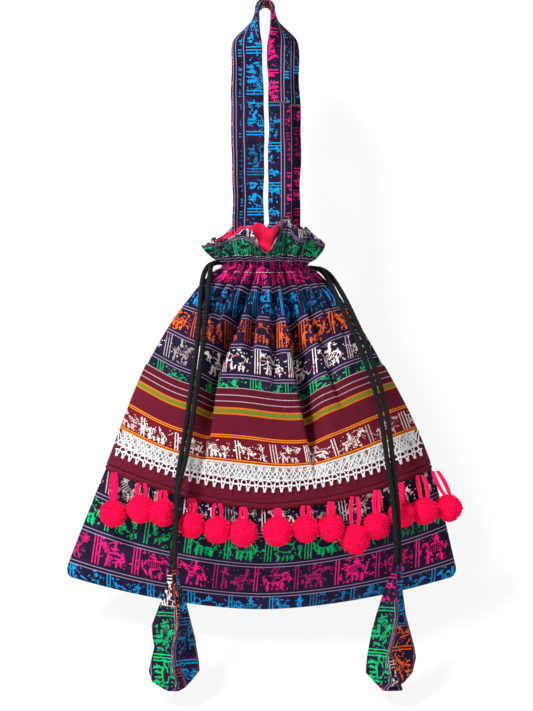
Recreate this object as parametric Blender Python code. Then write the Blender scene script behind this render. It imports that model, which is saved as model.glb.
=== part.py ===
"""A lined cloth drawstring pouch with two cloth handles, hung by the handles.

Units are metres, +Z is up, the front faces -Y and the origin is inside the top bend of the handles.
The cloth is worked out level by level: drop 0 is the gathered neck, negative drops are the frill above
it and positive drops run down the pouch to the bottom seam.
"""

import math

import bmesh
import bpy
import numpy as np
from mathutils import Matrix, Vector

# The pouch
NECK_Z = -0.221
FRILL_HEIGHT = 0.036
FRILL_FLARE = 0.015
FRILL_SIDE_SAG = 0.35
POUCH_DROP = 0.292
NECK_HALF_WIDTH = 0.0365
NECK_HALF_DEPTH = 0.027
BOTTOM_HALF_WIDTH = 0.168
BELLY_HALF_DEPTH = 0.036
BELLY_START = 0.225
SEAM_HALF_DEPTH = 0.0016
CORNER_RADIUS = 0.010
WIDEN_POWER = 0.72
TIED_HALF_HEIGHT = 0.0030
SIDE_RISE = 0.033
BOTTOM_RISE = 0.0265
RISE_POWER = 1.75
SWAY = 0.0034
SWAY_START = 0.35
SWAY_TURNS = 0.70

# The cloths
SHELL_CLOTH = 0.0020
LINING_CLOTH = 0.0010
BAND_CLOTH = 0.0012
LACE_CLOTH = 0.0008
TOUCH_GAP = 0.0003
LOOSE_GAP = 0.0010
SHELL_COLUMNS = 32
LINING_COLUMNS = 16

# The gathers and the two deep folds of the front
GATHERS = 8
GATHER_AT_NECK = 0.0024
GATHER_AT_FRILL = 0.0045
GATHER_BELOW = 0.0036
GATHER_END = 0.070
FOLD_DEPTH = 0.016
FOLD_HALF_WIDTH = 0.010
FOLD_START = 0.010
FOLD_FULL = 0.040
FOLD_FADE = 0.105
FOLD_END = 0.172
FOLD_MARGIN = 0.006
LEFT_FOLD_TOP = -0.06
LEFT_FOLD_LOW = -0.43
RIGHT_FOLD_TOP = 0.38
RIGHT_FOLD_LOW = 0.33

# The band, its lace and its rolled hem
BAND_TOP = 0.1075
BAND_BOTTOM = 0.2005
LACE_TOP = 0.170
LACE_TAPE_BOTTOM = 0.1845
LACE_POINT_DEPTH = 0.0075
LACE_POINTS_PER_COLUMN = 2
HEM_RADIUS = 0.0021
HEM_SIDES = 6
HEM_GAP = 0.0012

# The draw cords and the slits that they leave by
CORD_DIAMETER = 0.0042
CORD_STACK = 0.0024
CORD_SPREAD = 0.0025
SLIT_HALF_GAP = 0.0058
CASING_HALF_HEIGHT = 0.0056
SLIT_TAPER = 0.003
CORD_POINT_SPACING = 2.0 * CORD_DIAMETER
RING_POINTS = 24
RING_POINT_SPACING = 1.15 * CORD_DIAMETER
EXIT_X = 0.0335

# The handles
STRAP_WIDTH = 0.0175
STRAP_THICKNESS = 0.0036
FRONT_LEG_X = 0.0120
BACK_LEG_X = 0.0200
HANDLE_SPREAD = 0.0105
TOP_BEND_RADIUS = 0.0050
TOP_BEND_STEPS = 5
HANDLE_ROOT = 0.0105
STRAP_TWIST_LENGTH = 0.070
STRAP_SPREAD_LENGTH = 0.030
STRAP_LEVELS = (-0.150, -0.110, -0.082, -0.068, -0.056, -0.045, -0.035, -0.026, -0.018, -0.011)
STRAP_SECTION = (
    (-0.5, 0.22),
    (-0.28, 0.5),
    (0.28, 0.5),
    (0.5, 0.22),
    (0.5, -0.22),
    (0.28, -0.5),
    (-0.28, -0.5),
    (-0.5, -0.22),
)

# The pom-poms and the tassels
POMPOM_RADIUS = 0.0095
POMPOM_SEGMENTS = 10
POMPOM_RINGS = 7
LOOP_WIDTH = 0.0052
LOOP_THICKNESS = 0.0020
LOOP_SECTIONS = ((0.0, 0.4), (0.25, 1.0), (0.75, 1.0), (1.0, 0.5))
LOOP_OUTLINE = ((-0.5, 0.0), (-0.25, 0.5), (0.25, 0.5), (0.5, 0.0), (0.25, -0.5), (-0.25, -0.5))
LOOP_GAP = 0.0008
RUB_GAP = 0.0007
TASSEL_DOME = 0.0050
TASSEL_LENGTH = 0.107
TASSEL_HALF_WIDTH = 0.0235
TASSEL_HALF_DEPTH = 0.0150
TASSEL_SIDES = 10
TASSEL_DOME_TURNS = (12.0, 38.0, 64.0, 90.0)
TASSEL_STATIONS = (
    (0.16, 0.38, 0.45),
    (0.32, 0.62, 0.70),
    (0.50, 0.84, 0.90),
    (0.70, 0.95, 1.00),
    (0.84, 1.00, 0.92),
    (0.93, 0.72, 0.60),
)

# Where each pom-pom hangs: its loop on the hem, its ball across, and how far the ball's middle is below
POMPOM_PLACES = (
    (-0.1272, -0.1272, 0.0338),
    (-0.1033, -0.1033, 0.0206),
    (-0.0850, -0.0856, 0.0182),
    (-0.0608, -0.0608, 0.0216),
    (-0.0395, -0.0395, 0.0218),
    (-0.0180, -0.0180, 0.0210),
    (0.0106, 0.0106, 0.0190),
    (0.0340, 0.0340, 0.0190),
    (0.0550, 0.0550, 0.0217),
    (0.0750, 0.0750, 0.0357),
    (0.0938, 0.0930, 0.0298),
    (0.1130, 0.1144, 0.0264),
    (0.1285, 0.1342, 0.0298),
    (0.1362, 0.1550, 0.0310),
)

# The draw cords' routes from the slit to the tassel: across, forward and down from the neck
LEFT_FRONT_ROUTE = (
    (-0.0339, -0.0025, 0.0024),
    (-0.0410, -0.0025, 0.0024),
    (-0.0452, -0.0062, 0.0002),
    (-0.0464, -0.0134, -0.0068),
    (-0.0472, -0.0200, -0.0165),
    (-0.0482, -0.0262, -0.0290),
    (-0.0500, -0.0305, -0.0450),
    (-0.0515, -0.0335, -0.0650),
    (-0.0545, -0.0360, -0.0880),
    (-0.0578, -0.0385, -0.1120),
    (-0.0615, -0.0415, -0.1380),
    (-0.0662, -0.0450, -0.1640),
    (-0.0712, -0.0500, -0.1840),
    (-0.0731, -0.0535, -0.2040),
    (-0.0735, -0.0565, -0.2250),
    (-0.0745, -0.0575, -0.2520),
)
LEFT_BACK_ROUTE = (
    (-0.0339, 0.0025, 0.0024),
    (-0.0410, 0.0025, 0.0024),
    (-0.0472, 0.0006, 0.0002),
    (-0.0512, -0.0052, -0.0060),
    (-0.0532, -0.0130, -0.0155),
    (-0.0542, -0.0205, -0.0285),
    (-0.0550, -0.0262, -0.0450),
    (-0.0565, -0.0295, -0.0650),
    (-0.0595, -0.0322, -0.0880),
    (-0.0626, -0.0350, -0.1120),
    (-0.0662, -0.0382, -0.1380),
    (-0.0704, -0.0420, -0.1640),
    (-0.0730, -0.0452, -0.1840),
    (-0.0732, -0.0487, -0.2040),
    (-0.0742, -0.0512, -0.2250),
    (-0.0785, -0.0535, -0.2520),
)
RIGHT_FRONT_ROUTE = (
    (0.0339, -0.0025, -0.0024),
    (0.0410, -0.0025, -0.0024),
    (0.0466, -0.0052, -0.0040),
    (0.0515, -0.0104, -0.0092),
    (0.0570, -0.0160, -0.0195),
    (0.0636, -0.0208, -0.0340),
    (0.0702, -0.0246, -0.0485),
    (0.0775, -0.0280, -0.0650),
    (0.0838, -0.0305, -0.0810),
    (0.0899, -0.0330, -0.0980),
    (0.0942, -0.0355, -0.1150),
    (0.0972, -0.0385, -0.1320),
    (0.1020, -0.0450, -0.1670),
    (0.1052, -0.0505, -0.1900),
    (0.1072, -0.0545, -0.2120),
    (0.1082, -0.0560, -0.2330),
    (0.1075, -0.0560, -0.2480),
)
RIGHT_BACK_ROUTE = (
    (0.0339, 0.0025, -0.0024),
    (0.0410, 0.0025, -0.0024),
    (0.0480, 0.0010, -0.0034),
    (0.0545, -0.0038, -0.0078),
    (0.0612, -0.0096, -0.0172),
    (0.0690, -0.0150, -0.0315),
    (0.0760, -0.0192, -0.0465),
    (0.0828, -0.0228, -0.0620),
    (0.0888, -0.0258, -0.0780),
    (0.0945, -0.0290, -0.0950),
    (0.0995, -0.0320, -0.1130),
    (0.1030, -0.0348, -0.1310),
    (0.1067, -0.0412, -0.1670),
    (0.1092, -0.0468, -0.1900),
    (0.1105, -0.0508, -0.2120),
    (0.1110, -0.0522, -0.2330),
    (0.1118, -0.0522, -0.2480),
)

FRONT = -1
BACK = 1

NAVY = (0.020, 0.017, 0.050, 1.0)
NAVY_BACK = (0.017, 0.018, 0.055, 1.0)
PINK = (0.78, 0.010, 0.075, 1.0)
MAROON = (0.125, 0.010, 0.030, 1.0)
MAROON_HEM = (0.100, 0.008, 0.024, 1.0)
SILVER_WHITE = (0.62, 0.60, 0.58, 1.0)
CORD_BLACK = (0.012, 0.012, 0.013, 1.0)
STRAP_BLUE = (0.015, 0.060, 0.130, 1.0)
STRAP_PLUM = (0.060, 0.016, 0.070, 1.0)
TASSEL_NAVY = (0.016, 0.040, 0.060, 1.0)
YARN_CORAL = (0.90, 0.012, 0.075, 1.0)


def clear_scene():
    for obj in list(bpy.data.objects):
        bpy.data.objects.remove(obj)


def cloth_material(name, colour, roughness):
    material = bpy.data.materials.new(name)
    material.use_nodes = True
    shader = material.node_tree.nodes["Principled BSDF"]
    shader.inputs["Base Color"].default_value = colour
    shader.inputs["Roughness"].default_value = roughness
    shader.inputs["Metallic"].default_value = 0.0
    return material


def smooth_step(value, low, high):
    share = np.clip((value - low) / (high - low), 0.0, 1.0)
    return share * share * (3.0 - 2.0 * share)


def past_tie(drop, tied=TIED_HALF_HEIGHT):
    """Shares of the way down and up from the straight, tied stretch at the neck."""
    down = np.clip((drop - tied) / (POUCH_DROP - tied), 0.0, 1.0)
    up = np.clip((-drop - tied) / (FRILL_HEIGHT - tied), 0.0, 1.0)
    return down, up


def half_width(drop, tied=TIED_HALF_HEIGHT):
    """Half of the pouch's width at a level, with the round bottom corners and the flared frill."""
    down, up = past_tie(drop, tied)
    body = NECK_HALF_WIDTH + (BOTTOM_HALF_WIDTH - NECK_HALF_WIDTH) * down**WIDEN_POWER
    into_corner = np.clip((drop - POUCH_DROP + CORNER_RADIUS) / CORNER_RADIUS, 0.0, 1.0)
    corner = CORNER_RADIUS * (1.0 - np.sqrt(1.0 - into_corner**2))
    return body - corner + FRILL_FLARE * np.sin(0.5 * math.pi * up)


def half_depth(drop, tied=TIED_HALF_HEIGHT):
    """Half of the pouch's depth at a level: full at the belly, closing to the bottom seam."""
    down, up = past_tie(drop, tied)
    body = NECK_HALF_DEPTH + (BELLY_HALF_DEPTH - NECK_HALF_DEPTH) * smooth_step(down, 0.0, 0.5)
    under = np.clip((drop - BELLY_START) / (POUCH_DROP - BELLY_START), 0.0, 1.0)
    closed = SEAM_HALF_DEPTH + (body - SEAM_HALF_DEPTH) * np.sqrt(1.0 - under**2)
    return closed + FRILL_FLARE * np.sin(0.5 * math.pi * up)


def sway(drop):
    """How far the hanging pouch swings off the middle line at a level."""
    share = np.clip((drop / POUCH_DROP - SWAY_START) / (1.0 - SWAY_START), 0.0, 1.0)
    return SWAY * np.sin(2.0 * math.pi * SWAY_TURNS * share**1.3)


def side_rise(drop):
    """How far a level's row of weave climbs from the middle of the cloth to the side seam."""
    rising = SIDE_RISE * np.sin(0.5 * math.pi * np.clip(drop / BELLY_START, 0.0, 1.0))
    under = np.clip((drop - BELLY_START) / (POUCH_DROP - BELLY_START), 0.0, 1.0)
    return rising + (BOTTOM_RISE - SIDE_RISE) * under


def gather_height(drop):
    """How deep the small gathers are at a level."""
    up = np.clip(-drop / FRILL_HEIGHT, 0.0, 1.0)
    frill = GATHER_AT_NECK + (GATHER_AT_FRILL - GATHER_AT_NECK) * up
    swell = smooth_step(drop, 0.0, 0.25 * GATHER_END)
    below = GATHER_AT_NECK + (GATHER_BELOW - GATHER_AT_NECK) * swell
    below = below * (1.0 - smooth_step(drop, 0.3 * GATHER_END, GATHER_END))
    return np.where(drop < 0.0, frill, below)


def fold_strength(drop):
    return smooth_step(drop, FOLD_START, FOLD_FULL) * (1.0 - smooth_step(drop, FOLD_FADE, FOLD_END))


def fold_place(drop, top, low):
    """Where a deep fold crosses a level, as a share of the half width."""
    return top + (low - top) * smooth_step(drop, FOLD_START, FOLD_FADE) ** 0.6


def front_folds(share, drop):
    """How far the two deep folds push the front cloth in."""
    pushed = np.zeros(np.broadcast(share, drop).shape)
    for top, low in ((LEFT_FOLD_TOP, LEFT_FOLD_LOW), (RIGHT_FOLD_TOP, RIGHT_FOLD_LOW)):
        away = np.abs(share - fold_place(drop, top, low)) * half_width(drop) / FOLD_HALF_WIDTH
        valley = 0.5 + 0.5 * np.cos(math.pi * np.clip(away, 0.0, 1.0))
        pushed = np.maximum(pushed, FOLD_DEPTH * fold_strength(drop) * valley)
    return pushed


def slit_gap(drop):
    """Half of the opening between front and back cloth: the side slits at the casing, and the seams."""
    out_of_slit = smooth_step(np.abs(drop), CASING_HALF_HEIGHT, CASING_HALF_HEIGHT + SLIT_TAPER)
    return SLIT_HALF_GAP + (0.5 * TOUCH_GAP - SLIT_HALF_GAP) * out_of_slit


def level_height(share, drop):
    up = np.clip(-drop / FRILL_HEIGHT, 0.0, 1.0)
    frill = FRILL_HEIGHT * up * (1.0 - FRILL_SIDE_SAG * up * np.abs(share) ** 4)
    down = np.clip(drop, 0.0, None)
    return NECK_Z + frill - down + side_rise(down) * np.abs(share) ** RISE_POWER


def cloth_points(angle, drop, side, outward, seam_gap, folded=True, tied=TIED_HALF_HEIGHT):
    """Points of a cloth at an angle from the left seam (0) to the right seam (pi), lifted outward."""
    wide = half_width(drop, tied) + outward
    deep = half_depth(drop, tied) + outward
    deep = np.maximum(deep, seam_gap)
    share = -np.cos(angle)
    belly = 1.0 + 0.25 * smooth_step(drop, 0.0, 0.3 * POUCH_DROP)
    bulge = np.clip(np.sin(angle), 0.0, None) ** belly
    x = wide * share
    y = seam_gap + (deep - seam_gap) * bulge
    if folded:
        gathers = gather_height(drop) * np.cos(2.0 * GATHERS * angle) * np.sqrt(bulge)
        if side == FRONT:
            gathers = gathers - front_folds(share, drop) * np.sqrt(bulge)
        x = x + gathers * share * (1.0 - bulge)
        y = np.maximum(y + gathers * bulge, seam_gap)
    return np.stack(np.broadcast_arrays(x + sway(drop), side * y, level_height(share, drop)), axis=-1)


def shell_rows():
    """The levels at which the shell cloth has a row of points, from the frill's edge to the bottom."""
    casing = CASING_HALF_HEIGHT
    edge = casing + SLIT_TAPER
    frill = [-FRILL_HEIGHT * share for share in (1.0, 0.75, 0.45)]
    neck = [-edge, -casing, 0.0, casing, edge]
    shoulder = [edge + (BAND_TOP - edge) * share for share in (0.1, 0.24, 0.4, 0.58, 0.78)]
    band = [BAND_TOP + (LACE_TOP - BAND_TOP) * share for share in (0.0, 0.33, 0.66, 1.0)]
    lace = [LACE_TAPE_BOTTOM, BAND_BOTTOM]
    under = [0.16, 0.40, 0.64, 0.82, 0.93, 1.0]
    belly = [BAND_BOTTOM + (POUCH_DROP - BAND_BOTTOM) * share for share in under]
    return np.array(frill + neck + shoulder + band + lace + belly)


def column_angles(columns):
    """Angles from seam to seam, closer together near the seams than equal angles would be far apart."""
    return np.linspace(0.0, math.pi, columns + 1)


def shell_grid(rows, side, outward, columns=SHELL_COLUMNS):
    angle = column_angles(columns)[None, :]
    drop = rows[:, None]
    return cloth_points(angle, drop, side, outward, slit_gap(drop))


def add_strip(bm, first, second):
    """Faces between two rows of vertices, all with the same diagonal, leaving out those with no area."""
    for i in range(len(first) - 1):
        for corners in ((first[i], second[i], second[i + 1]), (first[i], second[i + 1], first[i + 1])):
            if len(set(corners)) == 3:
                bm.faces.new(corners)


def add_row(bm, points):
    return [bm.verts.new(point) for point in points]


def finish_mesh(bm, name, material, smooth=True):
    """Welds the rims, turns every face outwards and links the object."""
    bmesh.ops.remove_doubles(bm, verts=bm.verts, dist=1e-7)
    bmesh.ops.dissolve_degenerate(bm, edges=bm.edges, dist=1e-8)
    bmesh.ops.recalc_face_normals(bm, faces=bm.faces)
    mesh = bpy.data.meshes.new(name)
    bm.to_mesh(mesh)
    bm.free()
    mesh.materials.append(material)
    if smooth:
        mesh.shade_smooth()
        mesh.set_sharp_from_angle(angle=math.radians(50.0))
    obj = bpy.data.objects.new(name, mesh)
    bpy.context.scene.collection.objects.link(obj)
    return obj


def set_pivot(obj, pivot):
    """Moves the object's origin to its joint's pivot and leaves its shape where it is."""
    obj.data.transform(Matrix.Translation(-Vector(pivot)))
    obj.location = pivot


def make_shell_panel(name, side, material):
    """One half of the shell: from the frill's edge to the bottom seam, closed along its seams."""
    rows = shell_rows()
    outer = shell_grid(rows, side, 0.0)
    inner_rows = np.where(rows > 0.0, rows * (POUCH_DROP - 1.5 * SHELL_CLOTH) / POUCH_DROP, rows)
    inner = shell_grid(inner_rows, side, -SHELL_CLOTH)
    inner[:, :, 2] = np.maximum(inner[:, :, 2], outer[-1, :, 2][None, :] + SHELL_CLOTH)
    bm = bmesh.new()
    outer_rows = [add_row(bm, row) for row in outer]
    inner_rows = [add_row(bm, row) for row in inner]
    for first, second in zip(outer_rows, outer_rows[1:]):
        add_strip(bm, first, second)
    for first, second in zip(inner_rows, inner_rows[1:]):
        add_strip(bm, first, second)
    add_strip(bm, outer_rows[0], inner_rows[0])
    for edge in (0, -1):
        add_strip(bm, [row[edge] for row in outer_rows], [row[edge] for row in inner_rows])
    seam_low = outer[-1].copy()
    seam_low[:, 1] = side * 0.5 * TOUCH_GAP
    seam_high = inner[-1].copy()
    seam_high[:, 1] = side * 0.5 * TOUCH_GAP
    low_row = add_row(bm, seam_low)
    high_row = add_row(bm, seam_high)
    add_strip(bm, outer_rows[-1], low_row)
    add_strip(bm, low_row, high_row)
    add_strip(bm, high_row, inner_rows[-1])
    return finish_mesh(bm, name, material)


def channel_depth(drop):
    """How much further in the lining lies at the casing, to leave room for the two cords."""
    near_casing = 1.0 - smooth_step(np.abs(drop), CASING_HALF_HEIGHT, 2.5 * CASING_HALF_HEIGHT)
    return (CORD_DIAMETER + TOUCH_GAP) * near_casing


def lining_inset(drop, side):
    """How far inside the shell's face the lining's outer face lies."""
    clear = SHELL_CLOTH + gather_height(drop) + TOUCH_GAP + channel_depth(drop)
    if side == FRONT:
        nearby = np.maximum(fold_strength(drop - FOLD_MARGIN), fold_strength(drop + FOLD_MARGIN))
        clear = clear + FOLD_DEPTH * nearby
    return clear + LOOSE_GAP * smooth_step(drop, 0.0, 0.05)


def lining_ring(drop, inset_more):
    """A closed ring of lining points at one level: front from left to right, then back again."""
    angle = column_angles(LINING_COLUMNS)
    front_inset = float(lining_inset(np.array(drop), FRONT)) + inset_more
    back_inset = float(lining_inset(np.array(drop), BACK)) + inset_more
    level = np.array(drop)
    casing = CASING_HALF_HEIGHT
    front = cloth_points(angle, level, FRONT, -back_inset, 0.0, folded=False, tied=casing)
    back = cloth_points(angle, level, BACK, -back_inset, 0.0, folded=False, tied=casing)
    full = max(float(half_depth(level, casing)) - back_inset, 1e-4)
    flat = max(float(half_depth(level, casing)) - front_inset, 0.3 * full) / full
    front[:, 1] *= flat
    return np.concatenate([front, back[-2:0:-1]])


def make_lining(material):
    """The inner bag: one thin cloth, open at the frill and closed along its bottom."""
    depth = POUCH_DROP - 2.6 * SHELL_CLOTH
    casing = CASING_HALF_HEIGHT
    frill = [-FRILL_HEIGHT, -0.7 * FRILL_HEIGHT, -2.5 * casing, -casing, casing, 2.5 * casing]
    body = [depth * share for share in (0.09, 0.15, 0.25, 0.37, 0.5, 0.63, 0.76, 0.86, 0.93, 0.97)]
    bm = bmesh.new()
    outer = [add_row(bm, lining_ring(drop, 0.0)) for drop in frill + body]
    inner = [add_row(bm, lining_ring(drop, LINING_CLOTH)) for drop in frill + body[:-1]]
    count = len(outer[0])
    for rings in (outer, inner):
        for first, second in zip(rings, rings[1:]):
            add_strip(bm, first + first[:1], second + second[:1])
    add_strip(bm, outer[0] + outer[0][:1], inner[0] + inner[0][:1])
    for rings in (outer, inner):
        last = rings[-1]
        front = last[: LINING_COLUMNS + 1]
        back = [last[0]] + last[: LINING_COLUMNS - 1 : -1][: count - LINING_COLUMNS]
        add_strip(bm, front, back)
    return finish_mesh(bm, "lining", material)


def band_grid(rows, outward):
    """Points over the front cloth, between its seams, at the given levels."""
    angle = column_angles(SHELL_COLUMNS)
    return cloth_points(angle[None, :], rows[:, None], FRONT, outward, 0.5 * TOUCH_GAP)


def make_slab(name, lower, upper, material):
    """A solid between two grids that have the same rows and columns."""
    bm = bmesh.new()
    low = [add_row(bm, row) for row in lower]
    high = [add_row(bm, row) for row in upper]
    for grid in (low, high):
        for first, second in zip(grid, grid[1:]):
            add_strip(bm, first, second)
    for edge in (0, -1):
        add_strip(bm, low[edge], high[edge])
        add_strip(bm, [row[edge] for row in low], [row[edge] for row in high])
    return finish_mesh(bm, name, material)


def make_band(material):
    """The plain band sewn over the front cloth."""
    rows = shell_rows()
    rows = rows[(rows > BAND_TOP - 1e-6) & (rows < BAND_BOTTOM + 1e-6)]
    lower = band_grid(rows, TOUCH_GAP)
    upper = band_grid(rows, TOUCH_GAP + BAND_CLOTH)
    return make_slab("trim_band", lower, upper, material)


def make_lace(material):
    """The lace: a tape with a row of points under it, lying on the band."""
    bottom_row = np.array([LACE_TOP, LACE_TAPE_BOTTOM, BAND_BOTTOM])
    lift = 2.0 * TOUCH_GAP + BAND_CLOTH
    finer = SHELL_COLUMNS * LACE_POINTS_PER_COLUMN
    place = np.linspace(0.0, SHELL_COLUMNS, finer + 1)
    reach = LACE_POINT_DEPTH / (BAND_BOTTOM - LACE_TAPE_BOTTOM)
    notch = np.where(np.arange(finer + 1) % 2 == 0, 0.35, 1.0) * reach

    def between_columns(row):
        left = np.clip(np.floor(place).astype(int), 0, SHELL_COLUMNS - 1)
        share = (place - left)[:, None]
        return row[left] * (1.0 - share) + row[left + 1] * share

    grids = []
    for outward in (lift, lift + LACE_CLOTH):
        top, tape, hem = (between_columns(row) for row in band_grid(bottom_row, outward))
        edge = tape + (hem - tape) * notch[:, None]
        grids.append(np.stack([top, tape, edge]))
    return make_slab("lace_trim", grids[0], grids[1], material)


def hem_points():
    """The middle line of the rolled hem, resting on the front cloth under the band."""
    drop = np.array([BAND_BOTTOM + HEM_GAP + HEM_RADIUS])
    return band_grid(drop, HEM_GAP + HEM_RADIUS)[0]


def make_tube(name, points, radius, sides, material):
    """A closed tube along points that lie roughly across the front."""
    bm = bmesh.new()
    rings = []
    for i, point in enumerate(points):
        ahead = points[min(i + 1, len(points) - 1)] - points[max(i - 1, 0)]
        ahead = ahead / np.linalg.norm(ahead)
        up = np.array([0.0, 0.0, 1.0]) - ahead * ahead[2]
        up = up / np.linalg.norm(up)
        out = np.cross(up, ahead)
        turns = 2.0 * math.pi * np.arange(sides) / sides
        ring = point + radius * (np.cos(turns)[:, None] * out + np.sin(turns)[:, None] * up)
        rings.append(add_row(bm, ring))
    for first, second in zip(rings, rings[1:]):
        add_strip(bm, first + first[:1], second + second[:1])
    bm.faces.new(rings[0])
    bm.faces.new(rings[-1])
    return finish_mesh(bm, name, material)


def smooth_line(route, spacing):
    """Evenly spaced points on a smooth curve through the route's own points."""
    knots = np.array(route)
    ends = np.vstack([2.0 * knots[0] - knots[1], knots, 2.0 * knots[-1] - knots[-2]])
    fine = []
    for before, start, stop, after in zip(ends, ends[1:], ends[2:], ends[3:]):
        for share in np.linspace(0.0, 1.0, 24, endpoint=False):
            cubic = 2.0 * start + (stop - before) * share
            cubic = cubic + (2.0 * before - 5.0 * start + 4.0 * stop - after) * share**2
            cubic = cubic + (3.0 * start - before - 3.0 * stop + after) * share**3
            fine.append(0.5 * cubic)
    fine = np.array(fine + [knots[-1]])
    along = np.concatenate([[0.0], np.cumsum(np.linalg.norm(np.diff(fine, axis=0), axis=1))])
    count = max(2, int(round(along[-1] / spacing)))
    wanted = np.linspace(0.0, along[-1], count + 1)
    return np.stack([np.interp(wanted, along, fine[:, axis]) for axis in range(3)], axis=1)


def make_cord(name, points, material):
    curve = bpy.data.curves.new(name, "CURVE")
    curve.dimensions = "3D"
    curve.bevel_depth = 0.5 * CORD_DIAMETER
    curve.bevel_resolution = 2
    curve.use_fill_caps = True
    spline = curve.splines.new("POLY")
    spline.points.add(len(points) - 1)
    for place, point in zip(spline.points, points):
        place.co = (*point, 1.0)
    curve.materials.append(material)
    obj = bpy.data.objects.new(name, curve)
    bpy.context.scene.collection.objects.link(obj)
    return obj


def casing_ring(exit_side, height):
    """A cord's run round the neck inside the casing, from one slit edge all the way back to the other."""
    radius = 0.5 * CORD_DIAMETER
    inside = SHELL_CLOTH + GATHER_AT_NECK + TOUCH_GAP + radius
    wide = NECK_HALF_WIDTH - inside
    deep = NECK_HALF_DEPTH - inside
    leave = math.asin((CORD_SPREAD + 3.6 * CORD_DIAMETER) / (2.0 * deep))
    turns = np.linspace(leave, 2.0 * math.pi - leave, RING_POINTS)
    ring = [
        (exit_side * wide * math.cos(turn), -deep * math.sin(turn), NECK_Z + height)
        for turn in turns
    ]
    start = (exit_side * (EXIT_X - TOUCH_GAP), -CORD_SPREAD, NECK_Z + height)
    stop = (exit_side * (EXIT_X - TOUCH_GAP), CORD_SPREAD, NECK_Z + height)
    near_start = (exit_side * (wide - TOUCH_GAP), -CORD_SPREAD, NECK_Z + height)
    near_stop = (exit_side * (wide - TOUCH_GAP), CORD_SPREAD, NECK_Z + height)
    return smooth_line([start, near_start, *ring, near_stop, stop], RING_POINT_SPACING)


def strap_ring(middle, turn, tilt):
    """The strap's flattened section at one place: turn swings it edge-on, tilt lays it over the top."""
    width = np.array([math.cos(turn), math.sin(turn), 0.0])
    thick = np.array([math.sin(turn) * math.cos(tilt), -math.cos(turn) * math.cos(tilt), math.sin(tilt)])
    return np.array([
        middle + STRAP_WIDTH * across * width + STRAP_THICKNESS * deep * thick
        for across, deep in STRAP_SECTION
    ])


def strap_root_y(leg_x):
    """How far from the middle a strap's face can be where it is sewn into the mouth's lining."""
    drop = np.array(-HANDLE_ROOT)
    inset = float(lining_inset(drop, BACK)) + LINING_CLOTH + LOOSE_GAP
    share = (leg_x + 0.5 * STRAP_WIDTH) / (float(half_width(drop)) - inset)
    reach = (float(half_depth(drop)) - inset) * math.sqrt(1.0 - share**2)
    return reach - 0.5 * STRAP_THICKNESS


def make_handle(name, side, leg_x, material):
    """A flat strap from the mouth's lining up over the hook and down again, edge-on at the top."""
    bend = TOP_BEND_RADIUS + 0.5 * STRAP_THICKNESS
    root_z = NECK_Z + HANDLE_ROOT
    rim_z = NECK_Z + FRILL_HEIGHT
    root_y = side * strap_root_y(leg_x)
    over_y = side * HANDLE_SPREAD
    half = []
    for z in (root_z, 0.5 * (root_z + rim_z), rim_z, *STRAP_LEVELS):
        edge_on = float(smooth_step(z, -STRAP_TWIST_LENGTH, 0.0))
        narrowed = float(smooth_step(z, -STRAP_SPREAD_LENGTH, -TOP_BEND_RADIUS))
        risen = float(smooth_step(z, root_z, 0.5 * rim_z))
        x = leg_x + (bend - leg_x) * narrowed
        y = root_y + (over_y - root_y) * risen
        half.append(strap_ring(np.array([x, y, z]), 0.5 * math.pi * edge_on, 0.0))
    for step in range(TOP_BEND_STEPS):
        tilt = 0.5 * math.pi * step / (TOP_BEND_STEPS - 1)
        x = bend * math.cos(tilt)
        z = -TOP_BEND_RADIUS + bend * math.sin(tilt)
        half.append(strap_ring(np.array([x, over_y, z]), 0.5 * math.pi, tilt))
    mirrored = [ring * np.array([-1.0, 1.0, 1.0]) for ring in half[:-1]]
    bm = bmesh.new()
    rings = [add_row(bm, ring) for ring in mirrored + half[::-1]]
    for first, second in zip(rings, rings[1:]):
        add_strip(bm, first + first[:1], second + second[:1])
    bm.faces.new(rings[0])
    bm.faces.new(rings[-1])
    return finish_mesh(bm, name, material)


def front_cloth_y(x, z):
    """How far forward the front cloth lies at a place seen from the front, found level by level."""
    drops = np.linspace(BAND_BOTTOM, POUCH_DROP, 400)
    share = np.clip(x / half_width(drops), -1.0, 1.0)
    heights = level_height(share, drops)
    level = drops[np.argmin(np.abs(heights - z))]
    share = float(np.clip(x / half_width(level), -1.0, 1.0))
    return float(cloth_points(np.arccos(-share), np.array(level), FRONT, 0.0, 0.0)[1])


def hem_place(x):
    """The hem's middle at a place across the front, and the way that the hem runs there."""
    points = hem_points()
    near = [np.array([at, *(np.interp(at, points[:, 0], points[:, axis]) for axis in (1, 2))])
            for at in (x - HEM_RADIUS, x, x + HEM_RADIUS)]
    run = near[2] - near[0]
    return near[1], run / np.linalg.norm(run)


def clear_ball_y(x, z):
    """How far forward a ball hangs so that it rests on the front cloth without cutting into it."""
    reach = POMPOM_RADIUS + RUB_GAP
    forward = []
    steps = np.linspace(-0.9, 0.9, 9)
    for across in steps:
        for up in steps:
            left = 1.0 - across**2 - up**2
            if left > 0.0:
                cloth = front_cloth_y(x + reach * across, z + reach * up)
                forward.append(cloth - reach * math.sqrt(left))
    return min(forward)


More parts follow.
